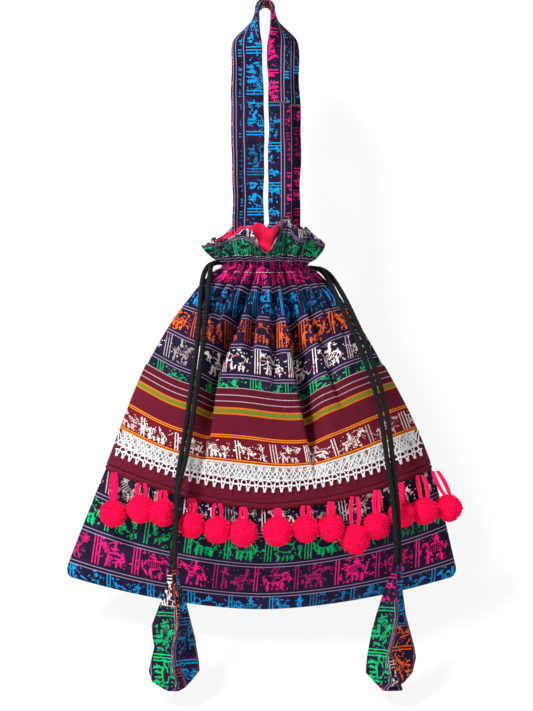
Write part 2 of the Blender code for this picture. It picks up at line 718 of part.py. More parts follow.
def make_pompom(number, hem_x, ball_x, below, material):
    """A yarn ball and the yarn loop that it hangs by, both swinging about the hem's middle line."""
    pivot, across = hem_place(hem_x)
    ball_z = pivot[2] - below
    ball = np.array([ball_x, clear_ball_y(ball_x, ball_z), ball_z])
    bm = bmesh.new()
    bmesh.ops.create_uvsphere(bm, u_segments=POMPOM_SEGMENTS, v_segments=POMPOM_RINGS, radius=POMPOM_RADIUS)
    bmesh.ops.translate(bm, verts=bm.verts, vec=ball)
    ball_object = finish_mesh(bm, f"pompom_{number:02d}", material)
    down = (ball - pivot) / np.linalg.norm(ball - pivot)
    top = pivot + down * (HEM_RADIUS + LOOP_GAP)
    low = ball - down * (POMPOM_RADIUS + TOUCH_GAP)
    across = across - down * float(np.dot(across, down))
    across = across / np.linalg.norm(across)
    thick = np.cross(across, down)
    bm = bmesh.new()
    rings = []
    for share, width in LOOP_SECTIONS:
        middle = top + (low - top) * share
        rings.append(add_row(bm, [
            middle + LOOP_WIDTH * width * side * across + LOOP_THICKNESS * deep * thick
            for side, deep in LOOP_OUTLINE
        ]))
    for first, second in zip(rings, rings[1:]):
        add_strip(bm, first + first[:1], second + second[:1])
    bm.faces.new(rings[0])
    bm.faces.new(rings[-1])
    loop_object = finish_mesh(bm, f"pompom_loop_{number:02d}", material)
    for obj in (ball_object, loop_object):
        set_pivot(obj, pivot)


def make_tassel(name, cord_end, material):
    """A folded cloth drop under a cord's two ends, hung from a round top so that it can swing."""
    pivot = cord_end - np.array([0.0, 0.0, TOUCH_GAP + TASSEL_DOME])
    stations = []
    for degrees in TASSEL_DOME_TURNS:
        rise = TASSEL_DOME * math.cos(math.radians(degrees))
        round_top = TASSEL_DOME * math.sin(math.radians(degrees))
        stations.append((rise, round_top, round_top))
    for down, wide, deep in TASSEL_STATIONS:
        stations.append((-down * TASSEL_LENGTH, wide * TASSEL_HALF_WIDTH, deep * TASSEL_HALF_DEPTH))
    bm = bmesh.new()
    turns = 2.0 * math.pi * np.arange(TASSEL_SIDES) / TASSEL_SIDES
    rings = []
    for height, wide, deep in stations:
        ring = [pivot + np.array([wide * math.cos(t), deep * math.sin(t), height]) for t in turns]
        rings.append(add_row(bm, ring))
    for first, second in zip(rings, rings[1:]):
        add_strip(bm, first + first[:1], second + second[:1])
    crown = bm.verts.new(pivot + np.array([0.0, 0.0, TASSEL_DOME]))
    foot = bm.verts.new(pivot + np.array([0.0, 0.0, -TASSEL_LENGTH]))
    for tip, ring in ((crown, rings[0]), (foot, rings[-1])):
        for first, second in zip(ring, ring[1:] + ring[:1]):
            bm.faces.new((first, second, tip))
    obj = finish_mesh(bm, name, material)
    set_pivot(obj, pivot)


def make_draw_cords(materials):
    """Two cords, each once round the neck in the casing, with both its ends out at one side in a tassel."""
    sides = (
        ("left", -1.0, CORD_STACK, LEFT_FRONT_ROUTE, LEFT_BACK_ROUTE),
        ("right", 1.0, -CORD_STACK, RIGHT_FRONT_ROUTE, RIGHT_BACK_ROUTE),
    )
    for word, exit_side, height, front_route, back_route in sides:
        make_cord(f"drawcord_{word}_in_casing", casing_ring(exit_side, height), materials["cord"])
        front = smooth_line(front_route, CORD_POINT_SPACING) + np.array([0.0, 0.0, NECK_Z])
        back = smooth_line(back_route, CORD_POINT_SPACING) + np.array([0.0, 0.0, NECK_Z])
        make_cord(f"drawcord_{word}_end_a", front, materials["cord"])
        make_cord(f"drawcord_{word}_end_b", back, materials["cord"])
        make_tassel(f"tassel_{word}", 0.5 * (front[-1] + back[-1]), materials["tassel"])


def make_materials():
    return {
        "front": cloth_material("front_cloth", NAVY, 0.85),
        "back": cloth_material("back_cloth", NAVY_BACK, 0.85),
        "lining": cloth_material("lining_cloth", PINK, 0.80),
        "band": cloth_material("band_cloth", MAROON, 0.82),
        "hem": cloth_material("hem_cloth", MAROON_HEM, 0.82),
        "lace": cloth_material("lace_thread", SILVER_WHITE, 0.55),
        "cord": cloth_material("cord_braid", CORD_BLACK, 0.70),
        "strap_front": cloth_material("front_strap_cloth", STRAP_BLUE, 0.85),
        "strap_back": cloth_material("back_strap_cloth", STRAP_PLUM, 0.85),
        "tassel": cloth_material("tassel_cloth", TASSEL_NAVY, 0.85),
        "yarn": cloth_material("pompom_yarn", YARN_CORAL, 0.95),
    }


def main():
    clear_scene()
    materials = make_materials()
    make_shell_panel("front_panel", FRONT, materials["front"])
    make_shell_panel("back_panel", BACK, materials["back"])
    make_lining(materials["lining"])
    make_band(materials["band"])
    make_lace(materials["lace"])
    make_tube("hem_roll", hem_points()[1:-1], HEM_RADIUS, HEM_SIDES, materials["hem"])
    make_handle("handle_front", FRONT, FRONT_LEG_X, materials["strap_front"])
    make_handle("handle_back", BACK, BACK_LEG_X, materials["strap_back"])
    make_draw_cords(materials)
    for number, place in enumerate(POMPOM_PLACES, start=1):
        make_pompom(number, *place, materials["yarn"])


main()
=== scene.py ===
"""The looks of a cloth drawstring pouch: patterned cloth, maroon band, lace, yarn pom-poms and cords.

Metres, +Z up, the front faces -Y, and the origin is in the top bend of the handles. The cloth is worked
out level by level: drop 0 is the gathered neck, negative drops are the frill above it, and positive drops
run down to the bottom seam. An angle of 0 is the left side seam and pi is the right one.
"""

import math

import bmesh
import bpy
import numpy as np
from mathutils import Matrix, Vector


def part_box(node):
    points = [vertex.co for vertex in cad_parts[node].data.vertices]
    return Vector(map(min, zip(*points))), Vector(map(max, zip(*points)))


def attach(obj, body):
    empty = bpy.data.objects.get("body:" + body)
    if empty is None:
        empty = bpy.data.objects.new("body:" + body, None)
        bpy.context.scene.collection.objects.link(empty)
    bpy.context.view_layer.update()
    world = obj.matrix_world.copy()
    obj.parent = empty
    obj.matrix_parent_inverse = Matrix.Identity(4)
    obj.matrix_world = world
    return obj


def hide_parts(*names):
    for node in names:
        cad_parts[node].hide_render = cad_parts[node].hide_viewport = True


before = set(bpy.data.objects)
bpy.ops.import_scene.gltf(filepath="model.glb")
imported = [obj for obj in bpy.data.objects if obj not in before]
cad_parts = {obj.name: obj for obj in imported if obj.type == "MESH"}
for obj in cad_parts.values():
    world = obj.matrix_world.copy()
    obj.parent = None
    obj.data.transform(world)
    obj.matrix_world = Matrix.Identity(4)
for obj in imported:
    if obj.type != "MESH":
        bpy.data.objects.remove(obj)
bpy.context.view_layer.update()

FRONT = -1
BACK = 1

# The pouch, with the sizes of the solids that it dresses
NECK_Z = -0.221
FRILL_HEIGHT = 0.036
FRILL_FLARE = 0.015
FLARE_POWER = 0.62
FLARE_CURL = 0.12
FRILL_SIDE_SAG = 0.52
POUCH_DROP = 0.292
NECK_HALF_WIDTH = 0.0365
NECK_HALF_DEPTH = 0.027
BOTTOM_HALF_WIDTH = 0.168
BELLY_HALF_DEPTH = 0.036
BELLY_START = 0.225
SEAM_HALF_DEPTH = 0.0002
CORNER_RADIUS = 0.010
WIDEN_POWER = 0.72
TIED_HALF_HEIGHT = 0.0030
SIDE_RISE = 0.033
BOTTOM_RISE = 0.0265
RISE_POWER = 1.75
SWAY = 0.0034
SWAY_START = 0.35
SWAY_TURNS = 0.70
SLIT_HALF_GAP = 0.0058
CASING_HALF_HEIGHT = 0.0056
SLIT_TAPER = 0.003
SEAM_GAP = 0.00015

# The cloths
SHELL_CLOTH = 0.0016
LINING_CLOTH = 0.0008
BAND_CLOTH = 0.0009
BAND_LIFT = 0.0004
PANEL_COLUMNS = 168
LINING_COLUMNS = 72
BAND_TOP = 0.1075
BAND_BOTTOM = 0.2005
HEM_MIDDLE = 0.2026
HEM_HALF_HEIGHT = 0.0026
HEM_HALF_THICKNESS = 0.0013
HEM_LIFT = 0.0018
LACE_TOP = 0.1695
LACE_HOLES = 0.1835

# Camera: level, straight at the front, and as far away as the flat look of the photograph asks
CAMERA_DISTANCE = 2.0
CAMERA_X = 0.0013
CAMERA_Z = -0.2975
FRAME_HEIGHT = 0.604
SENSOR = 36.0

# The draw cords' routes from the slits to the tassels: across, forward, and down from the neck
CORD_DIAMETER = 0.0042
LEFT_FRONT_ROUTE = (
    (-0.0339, -0.0025, 0.0024),
    (-0.0410, -0.0025, 0.0024),
    (-0.0452, -0.0062, 0.0002),
    (-0.0464, -0.0134, -0.0068),
    (-0.0472, -0.0200, -0.0165),
    (-0.0482, -0.0262, -0.0290),
    (-0.0500, -0.0305, -0.0450),
    (-0.0515, -0.0335, -0.0650),
    (-0.0545, -0.0360, -0.0880),
    (-0.0578, -0.0385, -0.1120),
    (-0.0615, -0.0415, -0.1380),
    (-0.0662, -0.0450, -0.1640),
    (-0.0712, -0.0500, -0.1840),
    (-0.0731, -0.0535, -0.2040),
    (-0.0735, -0.0565, -0.2250),
    (-0.0745, -0.0575, -0.2520),
)
LEFT_BACK_ROUTE = (
    (-0.0339, 0.0025, 0.0024),
    (-0.0410, 0.0025, 0.0024),
    (-0.0472, 0.0006, 0.0002),
    (-0.0512, -0.0052, -0.0060),
    (-0.0532, -0.0130, -0.0155),
    (-0.0542, -0.0205, -0.0285),
    (-0.0550, -0.0262, -0.0450),
    (-0.0565, -0.0295, -0.0650),
    (-0.0595, -0.0322, -0.0880),
    (-0.0626, -0.0350, -0.1120),
    (-0.0662, -0.0382, -0.1380),
    (-0.0704, -0.0420, -0.1640),
    (-0.0730, -0.0452, -0.1840),
    (-0.0732, -0.0487, -0.2040),
    (-0.0742, -0.0512, -0.2250),
    (-0.0785, -0.0535, -0.2520),
)
RIGHT_FRONT_ROUTE = (
    (0.0339, -0.0025, -0.0024),
    (0.0410, -0.0025, -0.0024),
    (0.0466, -0.0052, -0.0040),
    (0.0515, -0.0104, -0.0092),
    (0.0570, -0.0160, -0.0195),
    (0.0636, -0.0208, -0.0340),
    (0.0702, -0.0246, -0.0485),
    (0.0775, -0.0280, -0.0650),
    (0.0838, -0.0305, -0.0810),
    (0.0899, -0.0330, -0.0980),
    (0.0942, -0.0355, -0.1150),
    (0.0972, -0.0385, -0.1320),
    (0.1020, -0.0450, -0.1670),
    (0.1052, -0.0505, -0.1900),
    (0.1072, -0.0545, -0.2120),
    (0.1082, -0.0560, -0.2330),
    (0.1075, -0.0560, -0.2480),
)
RIGHT_BACK_ROUTE = (
    (0.0339, 0.0025, -0.0024),
    (0.0410, 0.0025, -0.0024),
    (0.0480, 0.0010, -0.0034),
    (0.0545, -0.0038, -0.0078),
    (0.0612, -0.0096, -0.0172),
    (0.0690, -0.0150, -0.0315),
    (0.0760, -0.0192, -0.0465),
    (0.0828, -0.0228, -0.0620),
    (0.0888, -0.0258, -0.0780),
    (0.0945, -0.0290, -0.0950),
    (0.0995, -0.0320, -0.1130),
    (0.1030, -0.0348, -0.1310),
    (0.1067, -0.0412, -0.1670),
    (0.1092, -0.0468, -0.1900),
    (0.1105, -0.0508, -0.2120),
    (0.1110, -0.0522, -0.2330),
    (0.1118, -0.0522, -0.2480),
)

# The woven pattern: rows of figures between pairs of pale lines, each row in its own colour
THREAD = 0.00086
ROW_PITCH = 0.02575
FIRST_ROW = 0.0187
CELL_WIDTH = 0.0345
LINE_LILAC = (0.255, 0.180, 0.280, 1.0)
NAVY = (0.0092, 0.0080, 0.0235, 1.0)
VIOLET_NAVY = (0.0185, 0.0095, 0.0350, 1.0)
ACCENT_PINK = (0.62, 0.030, 0.160, 1.0)
ROW_COLOURS = (
    (0.000, 0.290, 0.680, 1.0),
    (0.860, 0.120, 0.004, 1.0),
    (0.780, 0.700, 0.640, 1.0),
    (0.000, 0.480, 0.130, 1.0),
    (0.900, 0.008, 0.190, 1.0),
)

# Woven figures, each a few ovals in threads: across, down, half width, half height, lean in degrees
ELEPHANT = (
    (20, 15, 9.0, 5.2, 0),
    (30.5, 12.5, 4.2, 4.2, 0),
    (35, 18.5, 1.3, 5.5, 8),
    (13.5, 22.5, 1.7, 5.0, 0),
    (18, 22.5, 1.2, 4.6, 0),
    (23, 22.5, 1.2, 4.6, 0),
    (27.5, 22.5, 1.7, 5.0, 0),
    (9.5, 16.5, 0.9, 5.0, -14),
    (19, 8.2, 3.4, 1.6, 0),
    (19, 5.2, 1.5, 1.5, 0),
)
RIDER = (
    (18, 16, 8.2, 3.0, 0),
    (27.5, 12.0, 1.9, 5.6, 32),
    (31.5, 8.6, 3.4, 1.6, 18),
    (12.0, 22.0, 1.1, 5.4, 12),
    (15.5, 22.5, 1.0, 4.8, -10),
    (22.0, 22.5, 1.0, 4.8, 10),
    (25.5, 22.0, 1.1, 5.4, -12),
    (9.0, 17.5, 1.1, 5.0, 22),
    (18.5, 9.5, 1.6, 4.2, 0),
    (18.5, 4.8, 1.6, 1.6, 0),
    (22.5, 10.0, 3.6, 0.9, -20),
)
BIRD_AND_CHILD = (
    (10.5, 6.8, 1.7, 1.7, 0),
    (10.5, 13.0, 2.1, 4.8, 0),
    (8.8, 21.5, 1.0, 5.0, 6),
    (12.4, 21.5, 1.0, 5.0, -6),
    (10.5, 11.0, 5.2, 0.9, 24),
    (26.0, 15.5, 6.6, 4.0, -24),
    (19.5, 19.5, 4.2, 1.3, 30),
    (31.8, 9.8, 1.3, 4.4, 14),
    (33.0, 6.4, 2.2, 1.4, 0),
    (25.0, 23.0, 0.9, 3.6, 0),
    (28.4, 23.0, 0.9, 3.6, 0),
)
# The insides of the larger ovals, which are left open or filled with slanting threads or dots
ELEPHANT_HOLLOW = ((20, 15, 7.5, 3.7, 0), (30.8, 12.3, 2.7, 2.7, 0))
RIDER_HOLLOW = ((18, 16, 6.6, 1.7, 0), (27.2, 12.5, 0.7, 4.0, 32))
BIRD_HOLLOW = ((26.0, 15.5, 5.1, 2.6, -24), (10.5, 13.5, 0.9, 3.4, 0))

RANDOM_SEED = 41
random = np.random.default_rng(RANDOM_SEED)


def linear(red, green, blue):
    """A scene-linear colour from the 0 to 255 values that the eye reads off a screen."""
    shares = np.array([red, green, blue]) / 255.0
    low = shares / 12.92
    high = ((shares + 0.055) / 1.055) ** 2.4
    return (*(float(v) for v in np.where(shares <= 0.04045, low, high)), 1.0)


SHEEN_ROUGHNESS = 0.5


class Dye:
    """A cloth material's node tree, with short calls for the nodes that colour it."""

    def __init__(self, name, roughness, specular, sheen=0.0):
        self.material = bpy.data.materials.new(name)
        self.material.use_nodes = True
        self.tree = self.material.node_tree
        self.shader = self.tree.nodes["Principled BSDF"]
        self.shader.inputs["Roughness"].default_value = roughness
        self.shader.inputs["Sheen Weight"].default_value = sheen
        self.shader.inputs["Sheen Roughness"].default_value = SHEEN_ROUGHNESS
        self.shader.inputs["Specular IOR Level"].default_value = specular

    def node(self, kind, inputs=(), **settings):
        made = self.tree.nodes.new(kind)
        for word, setting in settings.items():
            setattr(made, word, setting)
        for place, value in (inputs.items() if isinstance(inputs, dict) else enumerate(inputs)):
            self.plug(made.inputs[place], value)
        return made

    def plug(self, socket, value):
        if isinstance(value, bpy.types.NodeSocket):
            self.tree.links.new(value, socket)
        else:
            socket.default_value = value

    def math(self, operation, *values):
        return self.node("ShaderNodeMath", values, operation=operation).outputs[0]

    def mix(self, share, first, second):
        made = self.node("ShaderNodeMix", data_type="RGBA")
        self.plug(made.inputs[0], share)
        self.plug(made.inputs[6], first)
        self.plug(made.inputs[7], second)
        return made.outputs[2]

    def between(self, value, low, high):
        """1 where value lies between low and high."""
        above = self.math("GREATER_THAN", value, low)
        return self.math("MULTIPLY", above, self.math("LESS_THAN", value, high))

    def any_of(self, *masks):
        found = masks[0]
        for mask in masks[1:]:
            found = self.math("MAXIMUM", found, mask)
        return found

    def flat_point(self, across, down):
        return self.node("ShaderNodeCombineXYZ", (across, down)).outputs[0]

    def remainder(self, value, step):
        return self.math("FLOORED_MODULO", value, step)

    def stripes(self, along, pitch):
        """A wave from -1 to 1 along one direction of the cloth."""
        return self.math("SINE", self.math("MULTIPLY", along, 2.0 * math.pi / pitch))

    def cloth_place(self):
        """How far across and down the flat cloth a point lies, in metres, from the piece's own map."""
        flat = self.node("ShaderNodeUVMap", uv_map="cloth").outputs[0]
        return self.node("ShaderNodeSeparateXYZ", (flat,)).outputs[:2]

    def chance(self, across, down):
        """A random value that is the same all over each whole step across and down."""
        point = self.flat_point(across, down)
        made = self.node("ShaderNodeTexWhiteNoise", {"Vector": point}, noise_dimensions="2D")
        return made.outputs["Value"], made.outputs["Color"]

    def clouds(self, place, scale, detail=2.0):
        made = self.node("ShaderNodeTexNoise", {"Vector": place, "Scale": scale, "Detail": detail})
        return made.outputs["Fac"]

    def finish(self, colour, height, distance):
        """The finished material: its colour, and a relief of the given height in metres."""
        self.plug(self.shader.inputs["Base Color"], colour)
        bump = self.node("ShaderNodeBump", {"Height": height, "Distance": distance})
        self.plug(self.shader.inputs["Normal"], bump.outputs[0])
        return self.material


def figure_nearness(dye, point, ovals):
    """Under 1 inside a woven figure, which is a union of ovals."""
    nearest = None
    for across, down, wide, high, lean in ovals:
        turned = dye.node(
            "ShaderNodeMapping",
            (point, (across, down, 0.0), (0.0, 0.0, math.radians(lean)), (wide, high, 1.0)),
            vector_type="TEXTURE",
        )
        away = dye.node("ShaderNodeVectorMath", (turned.outputs[0],), operation="LENGTH").outputs["Value"]
        nearest = away if nearest is None else dye.math("MINIMUM", nearest, away)
    return nearest


def pick(dye, chance, choices):
    """One of several values, picked by a random value from 0 to 1."""
    picked = choices[0]
    for number, choice in enumerate(choices[1:], start=1):
        later = dye.math("GREATER_THAN", chance, number / len(choices))
        made = dye.node("ShaderNodeMix", {0: later, 2: picked, 3: choice}, data_type="FLOAT")
        picked = made.outputs[0]
    return picked


# The bars beside each figure, in threads, the last one only in some cells, and the levels that they span
BARS = ((-0.5, 0.5), (2.5, 3.5))
SOMETIMES_BAR = (5.5, 6.5)
SOMETIMES_ABOVE = 0.6
WOVEN_LEVELS = (3.5, 27.5)
# How ragged, worn and sprinkled with loose stitches the figures are
THREAD_JITTER = 0.95
FIGURE_EDGE = 0.97
WORN_PATCHES = 170.0
WORN_BELOW = 0.44
LOOSE_RING = (1.15, 2.6)
SPECK_ABOVE = 0.955
DASH_ABOVE = 0.975
DASH_THREADS = 3.0
# The dimmest cell's brightness, how much the others gain by chance, and the most there is
DIM_LEAST = 0.36
DIM_GAIN = 0.95
DIM_MOST = 1.05
# Any fixed number does in each of these, to tell one row's chances from another's
SLIDE_CHANCE = 3.7
ROW_APART = 37.0
PATCHES_APART = 0.31


def step_count(dye, value, size):
    """How many whole steps of a size fit in a value."""
    return dye.math("FLOOR", dye.math("DIVIDE", value, size))


def woven_figures(dye, across, down, row, cell_width, stretch=1.0):
    """The figures and double bars of one row of weave, and how bright each cell's thread is."""
    slide = dye.math("MULTIPLY", dye.chance(row, SLIDE_CHANCE)[0], cell_width)
    moved = dye.math("ADD", across, slide)
    cell = step_count(dye, moved, cell_width)
    inside = dye.math("SUBTRACT", moved, dye.math("MULTIPLY", cell, cell_width))
    step = step_count(dye, inside, THREAD)
    level = step_count(dye, down, THREAD * stretch)
    first, colours = dye.chance(cell, row)
    second, third, fourth = dye.node("ShaderNodeSeparateColor", (colours,)).outputs[:3]
    turned = dye.math("SUBTRACT", round(cell_width / THREAD), step)
    facing = pick(dye, second, (step, turned))
    thread_step = step_count(dye, moved, THREAD)
    loose, _ = dye.chance(thread_step, dye.math("ADD", level, dye.math("MULTIPLY", row, ROW_APART)))
    jitter = dye.math("MULTIPLY", dye.math("SUBTRACT", loose, 0.5), THREAD_JITTER)
    point = dye.flat_point(dye.math("ADD", facing, jitter), dye.math("ADD", level, jitter))
    figures = (ELEPHANT, RIDER, BIRD_AND_CHILD)
    hollows = (ELEPHANT_HOLLOW, RIDER_HOLLOW, BIRD_HOLLOW)
    near = pick(dye, third, [figure_nearness(dye, point, ovals) for ovals in figures])
    within = pick(dye, third, [figure_nearness(dye, point, ovals) for ovals in hollows])
    slant = dye.remainder(dye.math("ADD", step, level), 3.0)
    dots = dye.math("MAXIMUM", dye.remainder(step, 2.0), dye.remainder(level, 2.0))
    open_weave = dye.math("GREATER_THAN", pick(dye, fourth, (slant, dots, 1.0)), 0.5)
    hollow = dye.math("MULTIPLY", dye.math("LESS_THAN", within, 1.0), open_weave)
    filled = dye.math("LESS_THAN", near, FIGURE_EDGE)
    body = dye.math("MULTIPLY", filled, dye.math("SUBTRACT", 1.0, hollow))
    patch = dye.flat_point(moved, dye.math("ADD", down, dye.math("MULTIPLY", row, PATCHES_APART)))
    unworn = dye.math("GREATER_THAN", dye.clouds(patch, WORN_PATCHES), WORN_BELOW)
    body = dye.math("MULTIPLY", body, unworn)
    sometimes = dye.math("GREATER_THAN", fourth, SOMETIMES_ABOVE)
    bars = dye.any_of(
        *(dye.between(step, *bar) for bar in BARS),
        dye.math("MULTIPLY", dye.between(step, *SOMETIMES_BAR), sometimes),
    )
    tall = dye.between(level, *WOVEN_LEVELS)
    around = dye.math("MULTIPLY", dye.between(near, *LOOSE_RING), tall)
    specks = dye.math("MULTIPLY", dye.math("GREATER_THAN", loose, SPECK_ABOVE), around)
    dashes, _ = dye.chance(step_count(dye, thread_step, DASH_THREADS), level)
    dashes = dye.math("MULTIPLY", dye.math("GREATER_THAN", dashes, DASH_ABOVE), around)
    body = dye.math("MULTIPLY", body, tall)
    bars = dye.math("MULTIPLY", bars, tall)
    thread = dye.any_of(body, bars, specks, dashes)
    dim = dye.math("MINIMUM", dye.math("MULTIPLY_ADD", first, DIM_GAIN, DIM_LEAST), DIM_MOST)
    return thread, dim, loose


WEAVE_PITCH = 0.0009
WEAVE_RELIEF = 0.00020
RIB_PITCH = 0.0022
# Where the pair of pale lines lies in each row of the weave
PALE_LINES = ((0.0001, 0.0008), (0.0027, 0.0034))
WHITE_ROW_TURN = (0.4, 0.6)
# The band's stripes, measured from its top edge: start, end and colour
BAND_STRIPES = (
    (0.0001, 0.0006, (170, 146, 150)),
    (0.0060, 0.0066, (186, 156, 164)),
    (0.0113, 0.0119, (186, 150, 158)),
    (0.0166, 0.0179, (196, 92, 22)),
    (0.0179, 0.0215, (98, 112, 36)),
    (0.0215, 0.0228, (196, 92, 22)),
    (0.0396, 0.0405, (222, 122, 14)),
    (0.0413, 0.0422, (222, 122, 14)),
    (0.0596, 0.0605, (228, 128, 14)),
    (0.0613, 0.0622, (228, 128, 14)),
)
BAND_DARK_PART = 0.0165
BAND_FIGURES_START = 0.0418
BAND_FIGURES = (0.0430, 0.0592)
BAND_CELL_WIDTH = 0.0315
BAND_ROW = 71.0
BAND_STRETCH = 0.72


def weave_height(dye, across, down):
    """A plain weave's over and under, for the bump."""
    over = dye.stripes(across, WEAVE_PITCH)
    under = dye.stripes(down, WEAVE_PITCH)
    return dye.math("MULTIPLY_ADD", dye.math("MULTIPLY", over, under), 0.25, 0.5)


def row_colour(dye, turn):
    """The thread colour of each row of the weave, which comes round again after five rows."""
    ramp = dye.node("ShaderNodeValToRGB", (turn,))
    ramp.color_ramp.interpolation = "CONSTANT"
    elements = ramp.color_ramp.elements
    share = 1.0 / len(ROW_COLOURS)
    elements[0].color = ROW_COLOURS[0]
    elements[1].position = share
    elements[1].color = ROW_COLOURS[1]
    for number in range(2, len(ROW_COLOURS)):
        elements.new(share * number).color = ROW_COLOURS[number]
    return ramp.outputs[0]


def dye_patterned_cloth(name):
    """Navy cloth with rows of figures in blue, orange, white, green and magenta thread."""
    dye = Dye(name, roughness=0.88, specular=0.04)
    across, down = dye.cloth_place()
    below = dye.math("SUBTRACT", down, FIRST_ROW)
    row = step_count(dye, below, ROW_PITCH)
    into_row = dye.math("SUBTRACT", below, dye.math("MULTIPLY", row, ROW_PITCH))
    thread, dim, loose = woven_figures(dye, across, into_row, row, CELL_WIDTH)
    kinds = float(len(ROW_COLOURS))
    turn = dye.math("DIVIDE", dye.math("ADD", dye.remainder(row, kinds), 0.5), kinds)
    flat = dye.flat_point(across, down)
    patches = dye.math("GREATER_THAN", dye.clouds(flat, 55.0), 0.53)
    ground = dye.mix(patches, NAVY, VIOLET_NAVY)
    ground = dye.mix(dye.math("MULTIPLY", loose, 0.35), ground, VIOLET_NAVY)
    bright = dye.math("MULTIPLY", dim, dye.math("MULTIPLY_ADD", dye.clouds(flat, 90.0), 0.5, 0.72))
    white_row = dye.between(turn, *WHITE_ROW_TURN)
    blushed = dye.math("MULTIPLY", white_row, dye.math("GREATER_THAN", dye.clouds(flat, 140.0), 0.60))
    thread_dye = dye.mix(dye.math("MULTIPLY", blushed, 0.8), row_colour(dye, turn), ACCENT_PINK)
    lit = dye.mix(dye.math("MINIMUM", bright, 1.0), ground, thread_dye)
    colour = dye.mix(thread, ground, lit)
    lines = dye.any_of(*(dye.between(into_row, *line) for line in PALE_LINES))
    colour = dye.mix(lines, colour, LINE_LILAC)
    return dye.finish(colour, weave_height(dye, across, down), WEAVE_RELIEF)


def ribbed(dye, across, dark, light):
    """Fine ribs that run down the cloth, and a colour that is lighter along each rib's crest and darker
    between.
    """
    ribs = dye.stripes(across, RIB_PITCH)
    return ribs, dye.mix(dye.math("MULTIPLY_ADD", ribs, 0.10, 0.4), dark, light)


def dye_band_cloth():
    """Ribbed maroon cloth with fine white lines, a green and orange stripe, and a row of white figures."""
    dye = Dye("maroon_band", roughness=0.86, specular=0.05)
    across, down = dye.cloth_place()
    into = dye.math("SUBTRACT", down, BAND_TOP)
    flat = dye.flat_point(across, down)
    ribs, colour = ribbed(dye, across, linear(88, 20, 36), linear(106, 26, 43))
    colour = dye.mix(dye.math("MULTIPLY", dye.clouds(flat, 70.0), 0.5), colour, linear(72, 14, 30))
    upper = dye.math("LESS_THAN", into, BAND_DARK_PART)
    colour = dye.mix(dye.math("MULTIPLY", upper, 0.45), colour, linear(64, 18, 30))
    for low, high, paint in BAND_STRIPES:
        colour = dye.mix(dye.between(into, low, high), colour, linear(*paint))
    into_figures = dye.math("SUBTRACT", into, BAND_FIGURES_START)
    thread, dim, loose = woven_figures(dye, across, into_figures, BAND_ROW, BAND_CELL_WIDTH, BAND_STRETCH)
    here = dye.between(into, *BAND_FIGURES)
    thread = dye.math("MULTIPLY", thread, here)
    ground = dye.mix(here, colour, linear(98, 20, 34))
    white = dye.mix(dye.math("MULTIPLY", loose, 0.4), linear(238, 226, 220), linear(196, 160, 160))
    lit = dye.mix(dye.math("MINIMUM", dye.math("ADD", dim, 0.15), 1.0), ground, white)
    return dye.finish(dye.mix(thread, ground, lit), ribs, 0.00010)


def dye_hem():
    """The band's folded lower edge, ribbed like the band."""
    dye = Dye("maroon_hem", roughness=0.86, specular=0.05)
    across, _ = dye.cloth_place()
    ribs, colour = ribbed(dye, across, linear(84, 18, 33), linear(104, 25, 42))
    return dye.finish(colour, ribs, 0.00008)


def dye_plain(name, dark, light, roughness, scale, bump=0.0002, sheen=0.15, weave=True):
    """A cloth or thread of one dye, a little uneven, with its weave or its strands in the bump."""
    dye = Dye(name, roughness=roughness, sheen=sheen, specular=0.25)
    place = dye.node("ShaderNodeTexCoord").outputs["Object"]
    uneven = dye.clouds(place, scale, detail=4.0)
    colour = dye.mix(uneven, dark, light)
    if not weave:
        return dye.finish(colour, dye.clouds(place, 6.0 * scale), bump)
    across, down = dye.cloth_place()
    return dye.finish(colour, weave_height(dye, across, down), bump)


def dye_yarn():
    """Coral pink yarn, with a painted highlight at the strands' cut ends and painted shade deep in the ball.
    """
    dye = Dye("coral_yarn", roughness=0.90, specular=0.05)
    # The tip attribute is each point's painted light: 0 is full painted shade, 1 a full painted highlight
    tip = dye.node("ShaderNodeAttribute", attribute_name="tip").outputs["Fac"]
    place = dye.node("ShaderNodeTexCoord").outputs["Object"]
    uneven = dye.math("MULTIPLY_ADD", dye.clouds(place, 900.0), 0.7, -0.1)
    colour = dye.mix(uneven, linear(255, 2, 78), linear(255, 26, 104))
    # Painted highlight: paler pink towards the strands' cut ends
    colour = dye.mix(dye.math("MULTIPLY", dye.math("POWER", tip, 3.0), 0.34), colour, linear(255, 84, 132))
    # Painted shade: darker red towards the strands' roots and on the core, deep in the ball
    inner = dye.math("MULTIPLY", dye.math("SUBTRACT", 1.0, tip), 0.60)
    colour = dye.mix(inner, colour, linear(222, 0, 58))
    return dye.finish(colour, dye.clouds(place, 2500.0), 0.0001)


def dye_lace():
    """Silvery white net: crumpled tape with tints of grey, blue, teal and brown."""
    dye = Dye("silver_lace", roughness=0.55, sheen=0.1, specular=0.45)
    across, down = dye.cloth_place()
    flat = dye.flat_point(across, dye.math("MULTIPLY", down, 1.8))
    crumple = dye.node("ShaderNodeTexVoronoi", {"Vector": flat, "Scale": 330.0, "Randomness": 1.0})
    tint = dye.node("ShaderNodeSeparateColor", (crumple.outputs["Color"],)).outputs
    pale = dye.mix(tint[0], linear(214, 209, 208), linear(134, 128, 134))
    brown = dye.math("GREATER_THAN", tint[1], 0.70)
    pale = dye.mix(dye.math("MULTIPLY", brown, 0.85), pale, linear(112, 66, 62))
    teal = dye.math("GREATER_THAN", tint[2], 0.86)
    pale = dye.mix(dye.math("MULTIPLY", teal, 0.7), pale, linear(92, 118, 128))
    return dye.finish(pale, crumple.outputs["Distance"], 0.0006)


def dye_crochet():
    """The lace's raised thread: white, a little grey between its turns."""
    dye = Dye("crochet_thread", roughness=0.62, sheen=0.1, specular=0.35)
    place = dye.node("ShaderNodeTexCoord").outputs["Object"]
    uneven = dye.clouds(place, 1400.0, detail=3.0)
    return dye.finish(dye.mix(uneven, linear(190, 186, 186), linear(248, 246, 244)), uneven, 0.0002)


